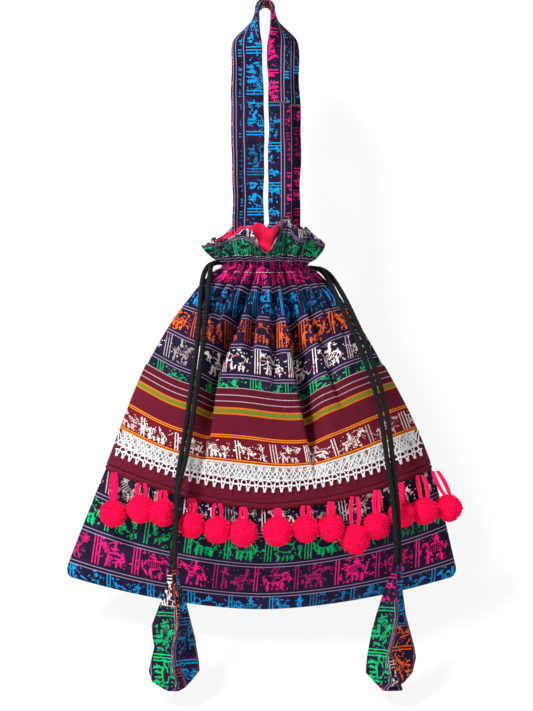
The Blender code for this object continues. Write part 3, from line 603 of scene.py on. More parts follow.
def dye_braid():
    """Black cord braid: herringbone in the bump, painted highlight on the strands' ridges, painted shade
    between.
    """
    dye = Dye("black_braid", roughness=0.68, specular=0.08)
    round_share, along = dye.cloth_place()
    lean = dye.math("PINGPONG", dye.math("MULTIPLY", round_share, 4.0), 0.5)
    strand = dye.math("FRACT", dye.math("ADD", dye.math("DIVIDE", along, 0.0019), lean))
    ridge = dye.math("PINGPONG", strand, 0.5)
    # Painted highlight along each strand's ridge, and painted shade in the grooves between strands
    colour = dye.mix(dye.math("MULTIPLY", ridge, 1.6), linear(7, 7, 8), linear(34, 34, 36))
    return dye.finish(colour, ridge, 0.0005)


def smooth_step(value, low, high):
    share = np.clip((value - low) / (high - low), 0.0, 1.0)
    return share * share * (3.0 - 2.0 * share)


def full_turn(count):
    """Evenly spaced angles once round."""
    return 2.0 * math.pi * np.arange(count) / count


def lengths_along(line):
    """How far along a line each of its points lies."""
    return np.concatenate([[0.0], np.cumsum(np.linalg.norm(np.diff(line, axis=0), axis=1))])


def layered(*parts):
    """Arrays of one grid joined as the parts of each point."""
    return np.stack(np.broadcast_arrays(*parts), axis=-1)


def valley(away, left, right):
    """A crease's push at a signed distance from its bottom, with its own width on each side."""
    reach = np.where(away < 0.0, left, right)
    return 0.5 + 0.5 * np.cos(math.pi * np.clip(np.abs(away) / reach, 0.0, 1.0))


def past_tie(drop):
    """How far below and above the gathered neck a level is, as shares of the pouch and of the frill."""
    down = np.clip((drop - TIED_HALF_HEIGHT) / (POUCH_DROP - TIED_HALF_HEIGHT), 0.0, 1.0)
    up = np.clip((-drop - TIED_HALF_HEIGHT) / (FRILL_HEIGHT - TIED_HALF_HEIGHT), 0.0, 1.0)
    return down, up


def into_bottom(drop):
    """0 down to the belly, and 1 at the bottom seam."""
    return np.clip((drop - BELLY_START) / (POUCH_DROP - BELLY_START), 0.0, 1.0)


def flare(up):
    """How far the frill leans out: soon after the neck, and curling back a little at its edge."""
    curl = 1.0 - FLARE_CURL * smooth_step(up, 0.7, 1.0)
    return FRILL_FLARE * np.sin(0.5 * math.pi * up**FLARE_POWER) * curl


def half_width(drop):
    down, up = past_tie(drop)
    body = NECK_HALF_WIDTH + (BOTTOM_HALF_WIDTH - NECK_HALF_WIDTH) * down**WIDEN_POWER
    into_corner = np.clip((drop - POUCH_DROP + CORNER_RADIUS) / CORNER_RADIUS, 0.0, 1.0)
    corner = CORNER_RADIUS * (1.0 - np.sqrt(1.0 - into_corner**2))
    return body - corner + flare(up)


def half_depth(drop):
    down, up = past_tie(drop)
    body = NECK_HALF_DEPTH + (BELLY_HALF_DEPTH - NECK_HALF_DEPTH) * smooth_step(down, 0.0, 0.5)
    closed = SEAM_HALF_DEPTH + (body - SEAM_HALF_DEPTH) * np.sqrt(1.0 - into_bottom(drop) ** 2)
    return closed + flare(up)


def sway(drop):
    """How far to one side the pouch hangs at each level."""
    share = np.clip((drop / POUCH_DROP - SWAY_START) / (1.0 - SWAY_START), 0.0, 1.0)
    return SWAY * np.sin(2.0 * math.pi * SWAY_TURNS * share**1.3)


def side_rise(drop):
    """How much higher a level of the cloth hangs at the side seams than in the middle."""
    rising = SIDE_RISE * np.sin(0.5 * math.pi * np.clip(drop / BELLY_START, 0.0, 1.0))
    return rising + (BOTTOM_RISE - SIDE_RISE) * into_bottom(drop)


def slit_gap(drop):
    """Half the gap between the front and back cloth at their side, wider where the cords come out."""
    out_of_slit = smooth_step(np.abs(drop), CASING_HALF_HEIGHT, CASING_HALF_HEIGHT + SLIT_TAPER)
    return SLIT_HALF_GAP + (SEAM_GAP - SLIT_HALF_GAP) * out_of_slit


# Creases that run down from the neck: share of the width at the top and low down, where each one ends,
# its depth, and its width on its left and on its right
FRONT_CREASES = (
    (-0.20, -0.420, 0.186, 0.0300, 0.0190, 0.0016),
    (0.26, 0.290, 0.190, 0.0300, 0.0016, 0.0200),
    (-0.86, -0.82, 0.066, 0.0050, 0.0045, 0.0030),
    (-0.62, -0.68, 0.084, 0.0090, 0.0070, 0.0020),
    (-0.42, -0.54, 0.066, 0.0085, 0.0060, 0.0018),
    (-0.02, -0.12, 0.100, 0.0125, 0.0090, 0.0020),
    (0.12, 0.07, 0.116, 0.0120, 0.0020, 0.0110),
    (0.50, 0.57, 0.146, 0.0130, 0.0022, 0.0140),
    (0.68, 0.72, 0.090, 0.0085, 0.0020, 0.0080),
    (0.84, 0.82, 0.112, 0.0080, 0.0024, 0.0080),
    (0.93, 0.86, 0.200, 0.0040, 0.0130, 0.0040),
)
BACK_CREASES = (
    (-0.75, -0.80, 0.080, 0.0040, 0.0050, 0.0070),
    (-0.45, -0.56, 0.150, 0.0080, 0.0090, 0.0050),
    (-0.18, -0.22, 0.090, 0.0050, 0.0050, 0.0070),
    (0.08, 0.14, 0.110, 0.0060, 0.0070, 0.0050),
    (0.30, 0.44, 0.160, 0.0085, 0.0050, 0.0100),
    (0.62, 0.68, 0.080, 0.0040, 0.0060, 0.0050),
)
CREASE_START = 0.004
CREASE_FULL = 0.020
SMALL_PLEATS = 11
SMALL_PLEAT_DEPTH = 0.0095
SMALL_PLEAT_END = 0.072
# A crease's start of fading and of full slant, as shares of its length, and how much narrower it is
# at the neck
CREASE_FADES = 0.55
CREASE_SLANTS = 0.6
CREASE_SLANT_POWER = 0.7
CREASE_NARROW = 0.35
CREASE_NARROW_END = 0.07
# How deep the small pleats are in the casing, below it and above it, as shares
PLEATS_AT_CASING = 0.30
PLEATS_BELOW = 0.90
PLEATS_ABOVE = 0.75
PLEATS_SWELL = 0.006
PLEATS_ABOVE_END = (0.012, 0.030)
PLEATS_CASING_END = (0.006, 0.016)
FRILL_LOBES = 4.5
FRILL_LOBE_DEPTH = 0.0105
FRILL_LOBE_DROOP = 0.48
FRILL_LOBE_SHARPNESS = 0.60
FRILL_PLEAT_DEPTH = 0.0055
# Where the frill's front edge hangs forward: share of the width, half width and depth of each dip
FRILL_DIPS = (
    (-0.60, 0.30, 0.32),
    (0.04, 0.26, 0.56),
    (-0.24, 0.55, 0.12),
)
FRILL_STRETCH = 1.28
CREASE_DRAG = 0.26
# The cloth's soft unevenness: how deep it is, and the lengths of its waves across and down
BILLOW_DEPTH = 0.0009
BILLOW_WAVES = ((0.019, 0.037), (0.011, 0.023))
# The slow wave of the front's rows between the neck and the band
ROW_WAVE = 0.0026
# How much of the cloth's spare width is still spread out, low down and more so at the neck
SPREAD_LOW = 0.25
SPREAD_AT_NECK = 0.17
SPREAD_END = 0.04
# How much cloth each of the two deep front creases hides, and half the width in which it goes
HIDDEN_IN_CREASES = ((0, 0.011), (1, 0.009))
HIDING_HALF_WIDTH = 0.006


def crease_place(top, low, end, drop):
    """The share of the width at which a crease lies, slanting from its top to its lower place."""
    return top + (low - top) * smooth_step(drop, CREASE_START, CREASE_SLANTS * end) ** CREASE_SLANT_POWER


def creases(share, drop, side):
    """How far the creases push the cloth in."""
    pushed = np.zeros(np.broadcast(share, drop).shape)
    for top, low, end, depth, left, right in FRONT_CREASES if side == FRONT else BACK_CREASES:
        fading = 1.0 - smooth_step(drop, CREASE_FADES * end, end)
        strength = depth * smooth_step(drop, CREASE_START, CREASE_FULL + 0.12 * end) * fading
        narrow = CREASE_NARROW + (1.0 - CREASE_NARROW) * smooth_step(drop, 0.0, CREASE_NARROW_END)
        away = (share - crease_place(top, low, end, drop)) * half_width(drop) / narrow
        pushed = np.maximum(pushed, strength * valley(away, left, right))
    return pushed


def small_pleats(angle, drop, side):
    """The sharp little gathers under the casing, each with its own length."""
    warped = angle + 0.060 * np.sin(7.0 * angle + side) + 0.03 * np.sin(13.0 * angle + 2.0)
    wave = np.abs(np.sin(SMALL_PLEATS * warped)) ** 0.7
    reach = SMALL_PLEAT_END * (0.75 + 0.35 * np.sin(5.0 * angle + 1.3 * side) * np.sin(11.0 * angle))
    below = smooth_step(drop, 0.0, PLEATS_SWELL) * (1.0 - smooth_step(drop, 0.3 * reach, reach))
    above = smooth_step(-drop, 0.0, PLEATS_SWELL) * (1.0 - smooth_step(-drop, *PLEATS_ABOVE_END))
    at_casing = 1.0 - smooth_step(np.abs(drop), *PLEATS_CASING_END)
    strength = PLEATS_AT_CASING * at_casing + PLEATS_BELOW * below + PLEATS_ABOVE * above
    return SMALL_PLEAT_DEPTH * (wave - 0.5) * strength


def frill_lobes(angle, drop, side):
    """The frill's wide lobes, deeper towards its edge."""
    up = np.clip(-drop / FRILL_HEIGHT, 0.0, 1.0)
    warped = angle + 0.16 * np.sin(3.0 * angle + 0.8 * side)
    wave = np.cos(2.0 * FRILL_LOBES * warped + 0.4 * side)
    folded = np.sign(wave) * np.abs(wave) ** FRILL_LOBE_SHARPNESS
    small = np.abs(np.sin(2.0 * SMALL_PLEATS * warped)) - 0.5
    gathers = FRILL_PLEAT_DEPTH * small * up**0.4 * (1.0 - up)
    return FRILL_LOBE_DEPTH * folded * smooth_step(up, 0.0, 0.8) + gathers


def front_dip(share, drop):
    """How far the front's frill edge hangs below the lining's edge behind it."""
    up = np.clip(-drop / FRILL_HEIGHT, 0.0, 1.0)
    dip = 0.0
    for place, half, depth in FRILL_DIPS:
        off = np.clip(np.abs(share - place) / half, 0.0, 1.0)
        dip = dip + depth * (0.5 + 0.5 * np.cos(math.pi * off)) ** 0.7
    return FRILL_HEIGHT * up**2 * dip


def billows(share, drop, side):
    """Soft unevenness of the hanging cloth."""
    down = np.clip(drop / POUCH_DROP, 0.0, 1.0)
    across = share * half_width(drop)
    (wide, tall), (narrow, short) = BILLOW_WAVES
    waves = np.sin(across / wide + 3.0 * down + side) * np.sin(drop / tall + 1.0)
    waves = waves + 0.6 * np.sin(across / narrow - 2.0 + 4.0 * down) * np.sin(drop / short)
    return BILLOW_DEPTH * waves * smooth_step(down, 0.05, 0.25) * (1.0 - smooth_step(down, 0.88, 1.0))


def level_height(share, drop, side):
    """The height of each point of a level of the cloth."""
    up = np.clip(-drop / FRILL_HEIGHT, 0.0, 1.0)
    frill = FRILL_HEIGHT * up * (1.0 - FRILL_SIDE_SAG * up * np.abs(share) ** 3)
    if side == FRONT:
        frill = frill - front_dip(share, drop)
    down = np.clip(drop, 0.0, None)
    near_neck = smooth_step(down, 0.02, 0.07) * (1.0 - smooth_step(down, 0.15, 0.198))
    wavy = ROW_WAVE * np.sin(6.5 * share + 2.6) * near_neck if side == FRONT else 0.0
    return NECK_Z + frill - down + side_rise(down) * np.abs(share) ** RISE_POWER + wavy


def cloth_points(angle, drop, side, lift=0.0, seam_gap=SEAM_GAP, folded=True):
    """Points of a cloth on the pouch, lifted outward, and folded with its creases and pleats or not."""
    angle, drop = np.broadcast_arrays(np.asarray(angle, float), np.asarray(drop, float))
    wide = half_width(drop) + lift
    deep = np.maximum(half_depth(drop) + lift, seam_gap)
    share = -np.cos(angle)
    belly = 1.0 + 0.25 * smooth_step(drop, 0.0, 0.3 * POUCH_DROP)
    bulge = np.clip(np.sin(angle), 0.0, None) ** belly
    x = wide * share
    y = seam_gap + (deep - seam_gap) * bulge
    height = level_height(share, drop, side)
    if folded:
        pushed = creases(share, drop, side)
        lobes = frill_lobes(angle, drop, side)
        ripples = small_pleats(angle, drop, side) + lobes
        ripples = (ripples + billows(share, drop, side) - pushed) * np.sqrt(bulge)
        x = x + ripples * share * (1.0 - bulge)
        y = np.maximum(y + ripples * bulge, seam_gap)
        height = height - (CREASE_DRAG * pushed + FRILL_LOBE_DROOP * lobes) * bulge
    return layered(x + sway(drop), side * y, height)


def flat_cloth(angle, drop, side):
    """Where a point of the hung cloth lies on the cloth before it was gathered: across and down."""
    angle, drop = np.broadcast_arrays(np.asarray(angle, float), np.asarray(drop, float))
    share = -np.cos(angle)
    wide = half_width(drop)
    spread = SPREAD_LOW + SPREAD_AT_NECK * (1.0 - smooth_step(drop, 0.0, SPREAD_END))
    eased = wide + spread * (BOTTOM_HALF_WIDTH - wide)
    across = share * eased
    if side == FRONT:
        for number, hidden in HIDDEN_IN_CREASES:
            top, low, end = FRONT_CREASES[number][:3]
            past = (share - crease_place(top, low, end, drop)) * wide
            strength = 1.0 - smooth_step(drop, 0.6 * end, 1.25 * end)
            across = across + hidden * strength * smooth_step(past, -HIDING_HALF_WIDTH, HIDING_HALF_WIDTH)
    return np.stack([across, np.where(drop < 0.0, FRILL_STRETCH * drop, drop)], axis=-1)


def grid_faces(rows, columns, wrap=False, start=0):
    """Quads between the rows of a grid of vertices, wrapped round where the grid is a tube."""
    steps = columns if wrap else columns - 1
    row, column = np.meshgrid(np.arange(rows - 1), np.arange(steps), indexing="ij")
    beside = (column + 1) % columns
    corners = (
        row * columns + column,
        (row + 1) * columns + column,
        (row + 1) * columns + beside,
        row * columns + beside,
    )
    return start + np.stack(corners, axis=-1).reshape(-1, 4)


def make_piece(name, points, faces, material, flat=None, outward=True, painted_light=None):
    """A mesh piece from its points and faces, with its flat cloth map and its normals pointing out."""
    mesh = bpy.data.meshes.new(name)
    mesh.from_pydata(np.asarray(points).reshape(-1, 3).tolist(), [], [list(face) for face in faces])
    if flat is not None:
        corner = np.zeros(len(mesh.loops), np.int32)
        mesh.loops.foreach_get("vertex_index", corner)
        layer = mesh.uv_layers.new(name="cloth")
        layer.data.foreach_set("uv", np.asarray(flat).reshape(-1, 2)[corner].astype(np.float32).ravel())
    # Each point's painted light, kept for the yarn's painted highlight and painted shade
    if painted_light is not None:
        layer = mesh.attributes.new("tip", "FLOAT", "POINT")
        layer.data.foreach_set("value", np.asarray(painted_light, np.float32).ravel())
    if outward:
        bm = bmesh.new()
        bm.from_mesh(mesh)
        bmesh.ops.recalc_face_normals(bm, faces=bm.faces)
        bm.to_mesh(mesh)
        bm.free()
    mesh.materials.append(material)
    mesh.shade_smooth()
    obj = bpy.data.objects.new(name, mesh)
    bpy.context.scene.collection.objects.link(obj)
    return obj


def end_caps(rows, columns, around, start=0):
    """The end faces of a tube, whose rings may have their first corner once more at their end."""
    first = [start + corner for corner in range(around)]
    last = [start + (rows - 1) * columns + corner for corner in range(around)]
    return [first, last[::-1]]


def dress(obj, body, slot, *nodes):
    """Puts the piece on its body and hides the nodes that it stands for; the slot is not used."""
    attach(obj, body)
    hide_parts(*nodes)


def thick_cloth(name, outer, inner, flat, material):
    """A closed cloth from its two faces, which are grids of the same size."""
    rows, columns = outer.shape[:2]
    count = rows * columns
    faces = [grid_faces(rows, columns), grid_faces(rows, columns, start=count)[:, ::-1]]
    grid = np.arange(count).reshape(rows, columns)
    for edge in (grid[0], grid[-1], grid[:, 0], grid[:, -1]):
        faces.append(np.stack([edge[:-1], edge[1:], edge[1:] + count, edge[:-1] + count], axis=-1))
    points = np.concatenate([outer.reshape(-1, 3), inner.reshape(-1, 3)])
    flat = np.asarray(flat).reshape(-1, 2)
    return make_piece(name, points, np.concatenate(faces), material, np.concatenate([flat, flat]))


def tubes(paths, radius, sides, up, closed=False):
    """Vertices and faces of many tubes at once: paths is (tubes, points, 3), and up is across each tube."""
    paths = np.asarray(paths, float)
    many, count = paths.shape[:2]
    if closed:
        ahead = np.roll(paths, -1, axis=1) - np.roll(paths, 1, axis=1)
    else:
        ahead = np.gradient(paths, axis=1)
    ahead = ahead / np.linalg.norm(ahead, axis=-1, keepdims=True)
    across = np.cross(ahead, np.broadcast_to(up, paths.shape))
    across = across / np.linalg.norm(across, axis=-1, keepdims=True)
    over = np.cross(across, ahead)
    turn = full_turn(sides)
    radius = np.broadcast_to(radius, (many, count, sides))[..., None]
    ring = np.cos(turn)[:, None] * across[:, :, None] + np.sin(turn)[:, None] * over[:, :, None]
    points = paths[:, :, None] + radius * ring
    one = np.arange(count * sides).reshape(count, sides)
    if closed:
        one = np.concatenate([one, one[:1]])
    beside = np.roll(one, -1, axis=1)
    quads = np.stack([one[:-1], one[1:], beside[1:], beside[:-1]], axis=-1).reshape(-1, 4)
    starts = (np.arange(many) * count * sides)[:, None, None]
    faces = (quads[None] + starts).reshape(-1, 4).tolist()
    if not closed:
        for end in (one[0][::-1], one[-1]):
            faces += (end[None] + starts[:, 0]).tolist()
    return points.reshape(-1, 3), faces


def make_camera():
    data = bpy.data.cameras.new("camera")
    data.sensor_width = SENSOR
    data.lens = SENSOR * CAMERA_DISTANCE / FRAME_HEIGHT
    camera = bpy.data.objects.new("camera", data)
    camera.location = (CAMERA_X, -CAMERA_DISTANCE, CAMERA_Z)
    camera.rotation_euler = (0.5 * math.pi, 0.0, 0.0)
    bpy.context.scene.collection.objects.link(camera)
    bpy.context.scene.camera = camera


def smooth_line(route, spacing):
    """Evenly spaced points on a smooth curve through the route's own points."""
    knots = np.array(route)
    ends = np.vstack([2.0 * knots[0] - knots[1], knots, 2.0 * knots[-1] - knots[-2]])
    fine = []
    for before, start, stop, after in zip(ends, ends[1:], ends[2:], ends[3:]):
        for share in np.linspace(0.0, 1.0, 24, endpoint=False):
            cubic = 2.0 * start + (stop - before) * share
            cubic = cubic + (2.0 * before - 5.0 * start + 4.0 * stop - after) * share**2
            cubic = cubic + (3.0 * start - before - 3.0 * stop + after) * share**3
            fine.append(0.5 * cubic)
    fine = np.array(fine + [knots[-1]])
    along = lengths_along(fine)
    count = max(2, int(round(along[-1] / spacing)))
    wanted = np.linspace(0.0, along[-1], count + 1)
    return np.stack([np.interp(wanted, along, fine[:, axis]) for axis in range(3)], axis=1)


BRAID_SIDES = 14
BRAID_SPACING = 0.0011
BRAID_PITCH = 0.0038
BRAID_RELIEF = 0.05


def make_cord(name, route, material):
    """One free end of a draw cord, with the braid's strands in relief, and the line that it follows."""
    line = smooth_line(route, BRAID_SPACING) + np.array([0.0, 0.0, NECK_Z])
    along = BRAID_SPACING * np.arange(len(line))[:, None]
    turn = full_turn(BRAID_SIDES)[None, :]
    one_way = np.sin(2.0 * math.pi * along / BRAID_PITCH + 2.0 * turn)
    other_way = np.sin(2.0 * math.pi * along / BRAID_PITCH - 2.0 * turn)
    relief = 1.0 + BRAID_RELIEF * np.maximum(one_way, other_way)
    points, faces = tubes(line[None], 0.5 * CORD_DIAMETER * relief[None], BRAID_SIDES, (0.0, 1.0, 0.03))
    share = np.broadcast_to(np.arange(BRAID_SIDES)[None, :] / BRAID_SIDES, relief.shape)
    return make_piece(name, points, faces, material, layered(share, along)), line


def make_free_cords(material):
    """The four free cord ends, made before anything else."""
    ends = (
        ("left", "a", LEFT_FRONT_ROUTE),
        ("left", "b", LEFT_BACK_ROUTE),
        ("right", "a", RIGHT_FRONT_ROUTE),
        ("right", "b", RIGHT_BACK_ROUTE),
    )
    cords = []
    for side, letter, route in ends:
        obj, line = make_cord(f"braided_cord_{side}_{letter}", route, material)
        dress(obj, "root", "cord_braid", f"drawcord_{side}_end_{letter}")
        cords.append((obj, line))
    return cords


# First and last level and number of rows of the frill, the neck and the body of the shell cloth
PANEL_ROW_PARTS = (
    (-FRILL_HEIGHT, -0.0005, 26),
    (0.0, 0.030, 20),
    (0.0318, 0.272, 108),
)
BOTTOM_ROWS_HEIGHT = 0.0200


def panel_rows():
    """The levels of a shell cloth's rows, closest together at the frill and the gathers."""
    parts = [np.linspace(*part) for part in PANEL_ROW_PARTS]
    bottom = POUCH_DROP - BOTTOM_ROWS_HEIGHT * np.linspace(0.98, 0.0, 18) ** 1.6
    return np.concatenate([*parts, bottom])


def make_panel(name, side, node, material):
    """One half of the shell cloth, from the frill's rolled edge to the bottom seam."""
    drop = panel_rows()[:, None]
    angle = np.linspace(0.0, math.pi, PANEL_COLUMNS + 1)[None, :]
    gap = slit_gap(drop)
    outer = cloth_points(angle, drop, side, 0.0, gap)
    inner_drop = np.where(drop > 0.0, drop * (POUCH_DROP - 1.5 * SHELL_CLOTH) / POUCH_DROP, drop)
    inner = cloth_points(angle, inner_drop, side, -SHELL_CLOTH, gap)
    inner[:, :, 2] = np.maximum(inner[:, :, 2], outer[-1, :, 2][None, :] + SHELL_CLOTH)
    panel = thick_cloth(name, outer, inner, flat_cloth(angle, drop, side), material)
    dress(panel, "root", node.replace("panel", "cloth"), node)


LINING_ROW_PARTS = (
    (-0.985 * FRILL_HEIGHT, 0.02, 34),
    (0.026, 0.2835, 44),
)
LINING_CLEARANCE = 0.0012
CASING_CLEARANCE = 0.0005
# How much further in the lining hangs than the shell: in the pouch, behind the front's deep creases, at the
# back, and in the frill, where it is loose and wavy
LINING_IN_POUCH = 0.0015
LINING_BEHIND_CREASES = 0.0350
LINING_AT_BACK = 0.006
LINING_IN_FRILL = 0.0088
LINING_WAVE = 0.0022
LINING_SHOWS = 0.80
LINING_GIRTH = 0.66


def make_lining(material):
    """The pink inner bag: seen where the front of the frill dips, between the handles."""
    drop = np.concatenate([np.linspace(*part) for part in LINING_ROW_PARTS])[:, None]
    angle = np.linspace(0.0, math.pi, LINING_COLUMNS + 1)[None, :]
    near_casing = 1.0 - smooth_step(np.abs(drop), CASING_HALF_HEIGHT, 2.5 * CASING_HALF_HEIGHT)
    channel = (CORD_DIAMETER + CASING_CLEARANCE) * near_casing
    below = smooth_step(drop, 0.004, 0.03)
    clear = SHELL_CLOTH + LINING_CLEARANCE + channel
    behind_creases = LINING_BEHIND_CREASES * below * (1.0 - smooth_step(drop, 0.18, 0.22))
    above = smooth_step(-drop, 0.006, 0.018)
    wavy = LINING_WAVE * np.sin(13.0 * angle + 1.0) * above

    def hung(side, further_in, folded):
        return cloth_points(angle, drop, side, -(clear + further_in + cloth), folded=folded)

    rings = []
    for cloth in (0.0, LINING_CLOTH):
        front = hung(FRONT, LINING_IN_POUCH * below, True)
        loose = hung(FRONT, LINING_IN_FRILL * above, False)
        loose[..., 1] += wavy
        loose[..., 2] += wavy
        front = front + (loose - front) * above[..., None]
        back = hung(BACK, LINING_IN_POUCH * below, True)
        smooth_front = hung(FRONT, behind_creases, False)
        smooth_back = hung(BACK, LINING_AT_BACK * below, False)
        front[..., 2] += LINING_SHOWS * front_dip(-np.cos(angle), drop)
        front = front + (smooth_front - front) * below[..., None]
        back = back + (smooth_back - back) * below[..., None]
        rings.append(np.concatenate([front, back[:, -2:0:-1]], axis=1))
    count, around = rings[0].shape[:2]
    points = np.concatenate([rings[0].reshape(-1, 3), rings[1].reshape(-1, 3)])
    faces = [grid_faces(count, around, wrap=True), grid_faces(count, around, wrap=True, start=count * around)]
    rim = np.arange(around)
    low = (count - 1) * around + rim
    other = count * around
    for edge in (rim, low):
        beside = np.roll(edge, -1)
        faces.append(np.stack([edge, beside, beside + other, edge + other], axis=-1))
    flat = layered(np.linspace(0.0, LINING_GIRTH, around)[None, :], drop)
    lining = make_piece("inner_bag", points, np.concatenate(faces), material, np.concatenate([flat, flat]))
    dress(lining, "root", "lining_cloth", "lining")


BAND_ROWS = 58
BAND_EDGE = 0.0006
BAND_EDGE_START = 0.0002


def make_band(material):
    """The maroon band sewn over the front, lifted a little by the cloth under it."""
    drop = np.linspace(BAND_TOP, BAND_BOTTOM, BAND_ROWS)[:, None]
    angle = np.linspace(0.0, math.pi, PANEL_COLUMNS + 1)[None, :]
    lower = cloth_points(angle, drop, FRONT, BAND_LIFT)
    edge = 1.0 - np.exp(-(drop - BAND_TOP + BAND_EDGE_START) / BAND_EDGE)
    upper = cloth_points(angle, drop, FRONT, BAND_LIFT + BAND_CLOTH * edge)
    band = thick_cloth("maroon_band", upper, lower, flat_cloth(angle, drop, FRONT), material)
    dress(band, "root", "band_cloth", "trim_band")


HEM_END_ANGLE = 0.13
HEM_POINTS = 300
HEM_SIDES = 16
HEM_STITCH = 0.0032
HEM_CLOSING = 0.002


def make_hem(material):
    """The folded and stitched lower edge of the band: a flattened tube, pinched by its stitches."""
    angle = np.linspace(HEM_END_ANGLE, math.pi - HEM_END_ANGLE, HEM_POINTS)
    line = cloth_points(angle, np.full_like(angle, HEM_MIDDLE), FRONT, HEM_LIFT)
    along = lengths_along(line)
    turn = full_turn(HEM_SIDES)[None, :]
    flatness = 1.0 / np.sqrt((np.cos(turn) / HEM_HALF_THICKNESS) ** 2 + (np.sin(turn) / HEM_HALF_HEIGHT) ** 2)
    pinch = np.exp(-((np.mod(along / HEM_STITCH, 1.0) - 0.5) / 0.16) ** 2)[:, None]
    seam = np.exp(-((np.mod(turn - 0.5 * math.pi, 2.0 * math.pi) - 0.6) / 0.35) ** 2)
    closing = np.clip(np.minimum(along, along[-1] - along) / HEM_CLOSING, 0.0, 1.0)[:, None]
    radius = flatness * (1.0 - 0.18 * pinch * seam + 0.03 * np.sin(along / 0.004)[:, None])
    radius = radius * (0.25 + 0.75 * np.sqrt(closing))
    points, faces = tubes(line[None], radius[None], HEM_SIDES, (0.0, 0.0, 1.0))
    flat = layered(along[:, None], BAND_BOTTOM + HEM_HALF_HEIGHT * turn)
    hem = make_piece("rolled_hem", points, faces, material, flat)
    dress(hem, "root", "hem_cloth", "hem_roll")


LACE_REACH = 0.972
LACE_LIFT = BAND_LIFT + BAND_CLOTH + 0.0002
LACE_PITCH = 0.0068
LACE_THREAD_LIFT = 0.0009
LACE_RING_SIDES = 12
TAPE_BOTTOM = LACE_HOLES - 0.0016
TAPE_THICKNESS = 0.0007
TAPE_CRUMPLE = 0.00034
TAPE_ROWS = 13
TAPE_COLUMNS = 520
# Rings of the crochet work: whether each hangs between two loops, its level, how much of half a pitch it
# takes, its half height, how much it narrows downwards, and its thread's radius
LACE_RINGS = (
    (True, LACE_HOLES + 0.0006, 0.62, 0.0022, 0.0, 0.00052),
    (False, 0.1870, 0.34, 0.0019, 0.35, 0.00062),
    (False, 0.1897, 0.16, 0.0008, 0.0, 0.00076),
)
# Crossing strands: which way each leans, how far in half pitches, and how far it starts to the side
LACE_STRANDS = (
    (-1.0, 1.3, 0.0),
    (1.0, 1.3, 0.0),
    (-1.0, 0.7, 0.9),
    (1.0, 0.7, -0.9),
)
STRAND_HEIGHT = 0.0118
STRAND_RADIUS = 0.00046
STRAND_LIFT = 0.0014
# Level and radius of each beaded line along the lace
LACE_LINES = (
    (LACE_TOP + 0.0004, 0.00045),
    (LACE_HOLES - 0.0024, 0.00050),
    (0.1856, 0.00042),
)
LACE_LINE_POINTS = 700


def lace_positions(pitch):
    """Shares of the half width at which the lace's loops sit, one pitch apart along the cloth."""
    fine = np.linspace(-LACE_REACH, LACE_REACH, 2000)
    angle = np.arccos(-fine)
    line = cloth_points(angle, np.full_like(angle, LACE_HOLES), FRONT, LACE_LIFT)
    along = lengths_along(line)
    count = int(along[-1] / pitch)
    return np.interp((np.arange(count) + 0.5) * along[-1] / count, along, fine)


def over_lace(share, drop, lift):
    return cloth_points(np.arccos(-np.clip(share, -0.995, 0.995)), drop, FRONT, LACE_LIFT + lift)


def make_lace_tape(material):
    """The crumpled silvery tape of the lace."""
    drop = np.linspace(LACE_TOP, TAPE_BOTTOM, TAPE_ROWS)[:, None]
    share = np.linspace(-LACE_REACH, LACE_REACH, TAPE_COLUMNS + 1)[None, :]
    crumple = random.normal(0.0, 1.0, (TAPE_ROWS, TAPE_COLUMNS + 1))
    crumple = (crumple + np.roll(crumple, 1, axis=1) + np.roll(crumple, 1, axis=0)) / 3.0
    upper = over_lace(share, drop, TAPE_THICKNESS + TAPE_CRUMPLE * crumple)
    lower = over_lace(share, drop, 0.0)
    flat = layered(share * half_width(drop), drop)
    tape = thick_cloth("lace_tape", upper, lower, flat, material)
    dress(tape, "root", "lace_thread", "lace_trim")


def make_lace_loops(material):
    """The crochet work: crossing strands, a chain with round holes, and a row of picots."""
    places = lace_positions(LACE_PITCH)
    half = 0.5 * LACE_PITCH / half_width(np.array(LACE_HOLES))
    turn = full_turn(LACE_RING_SIDES)
    out = (0.0, -1.0, 0.0)
    made = []
    for between_loops, level, wide, high, narrowing, size in LACE_RINGS:
        middle = ((places + half)[:-1] if between_loops else places)[:, None]
        share = middle + wide * half * np.cos(turn) * (1.0 - narrowing * np.sin(turn))
        drop = level + high * np.sin(turn)[None, :]
        made.append(tubes(over_lace(share, drop, LACE_THREAD_LIFT), size, 6, out, closed=True))
    step = np.linspace(0.0, 1.0, 9)
    picot = places[:, None]
    wobble = random.uniform(-0.25, 0.25, (3, len(places), 1))
    for number, (way, slope, aside) in enumerate(LACE_STRANDS):
        middle = picot + aside * half
        share = middle + way * half * (2.0 * step - 1.0)[None, :] * (slope + wobble[number % 3])
        drop = LACE_TOP + 0.0006 + STRAND_HEIGHT * step[None, :]
        lift = STRAND_LIFT + 0.0003 * np.sin(6.0 * math.pi * step + number)[None, :]
        made.append(tubes(over_lace(share, drop, lift), STRAND_RADIUS, 5, out))
    share = np.linspace(-LACE_REACH, LACE_REACH, LACE_LINE_POINTS)
    number = np.arange(LACE_LINE_POINTS)
    for level, size in LACE_LINES:
        beads = size * (1.0 + 0.35 * np.sin(math.pi * number))
        line = over_lace(share, level + 0.0002 * np.sin(number * 0.9), 0.0010)
        made.append(tubes(line[None], beads[None, :, None], 5, out))
    crochet = join_tubes("lace_crochet", made, material)
    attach(crochet, "root")


def join_tubes(name, made, material, painted_light=None):
    """One piece from several lots of tubes."""
    points = []
    faces = []
    count = 0
    for some_points, some_faces in made:
        points.append(some_points)
        faces += [[corner + count for corner in face] for face in some_faces]
        count += len(some_points)
    return make_piece(name, np.concatenate(points), faces, material, outward=False, painted_light=painted_light)


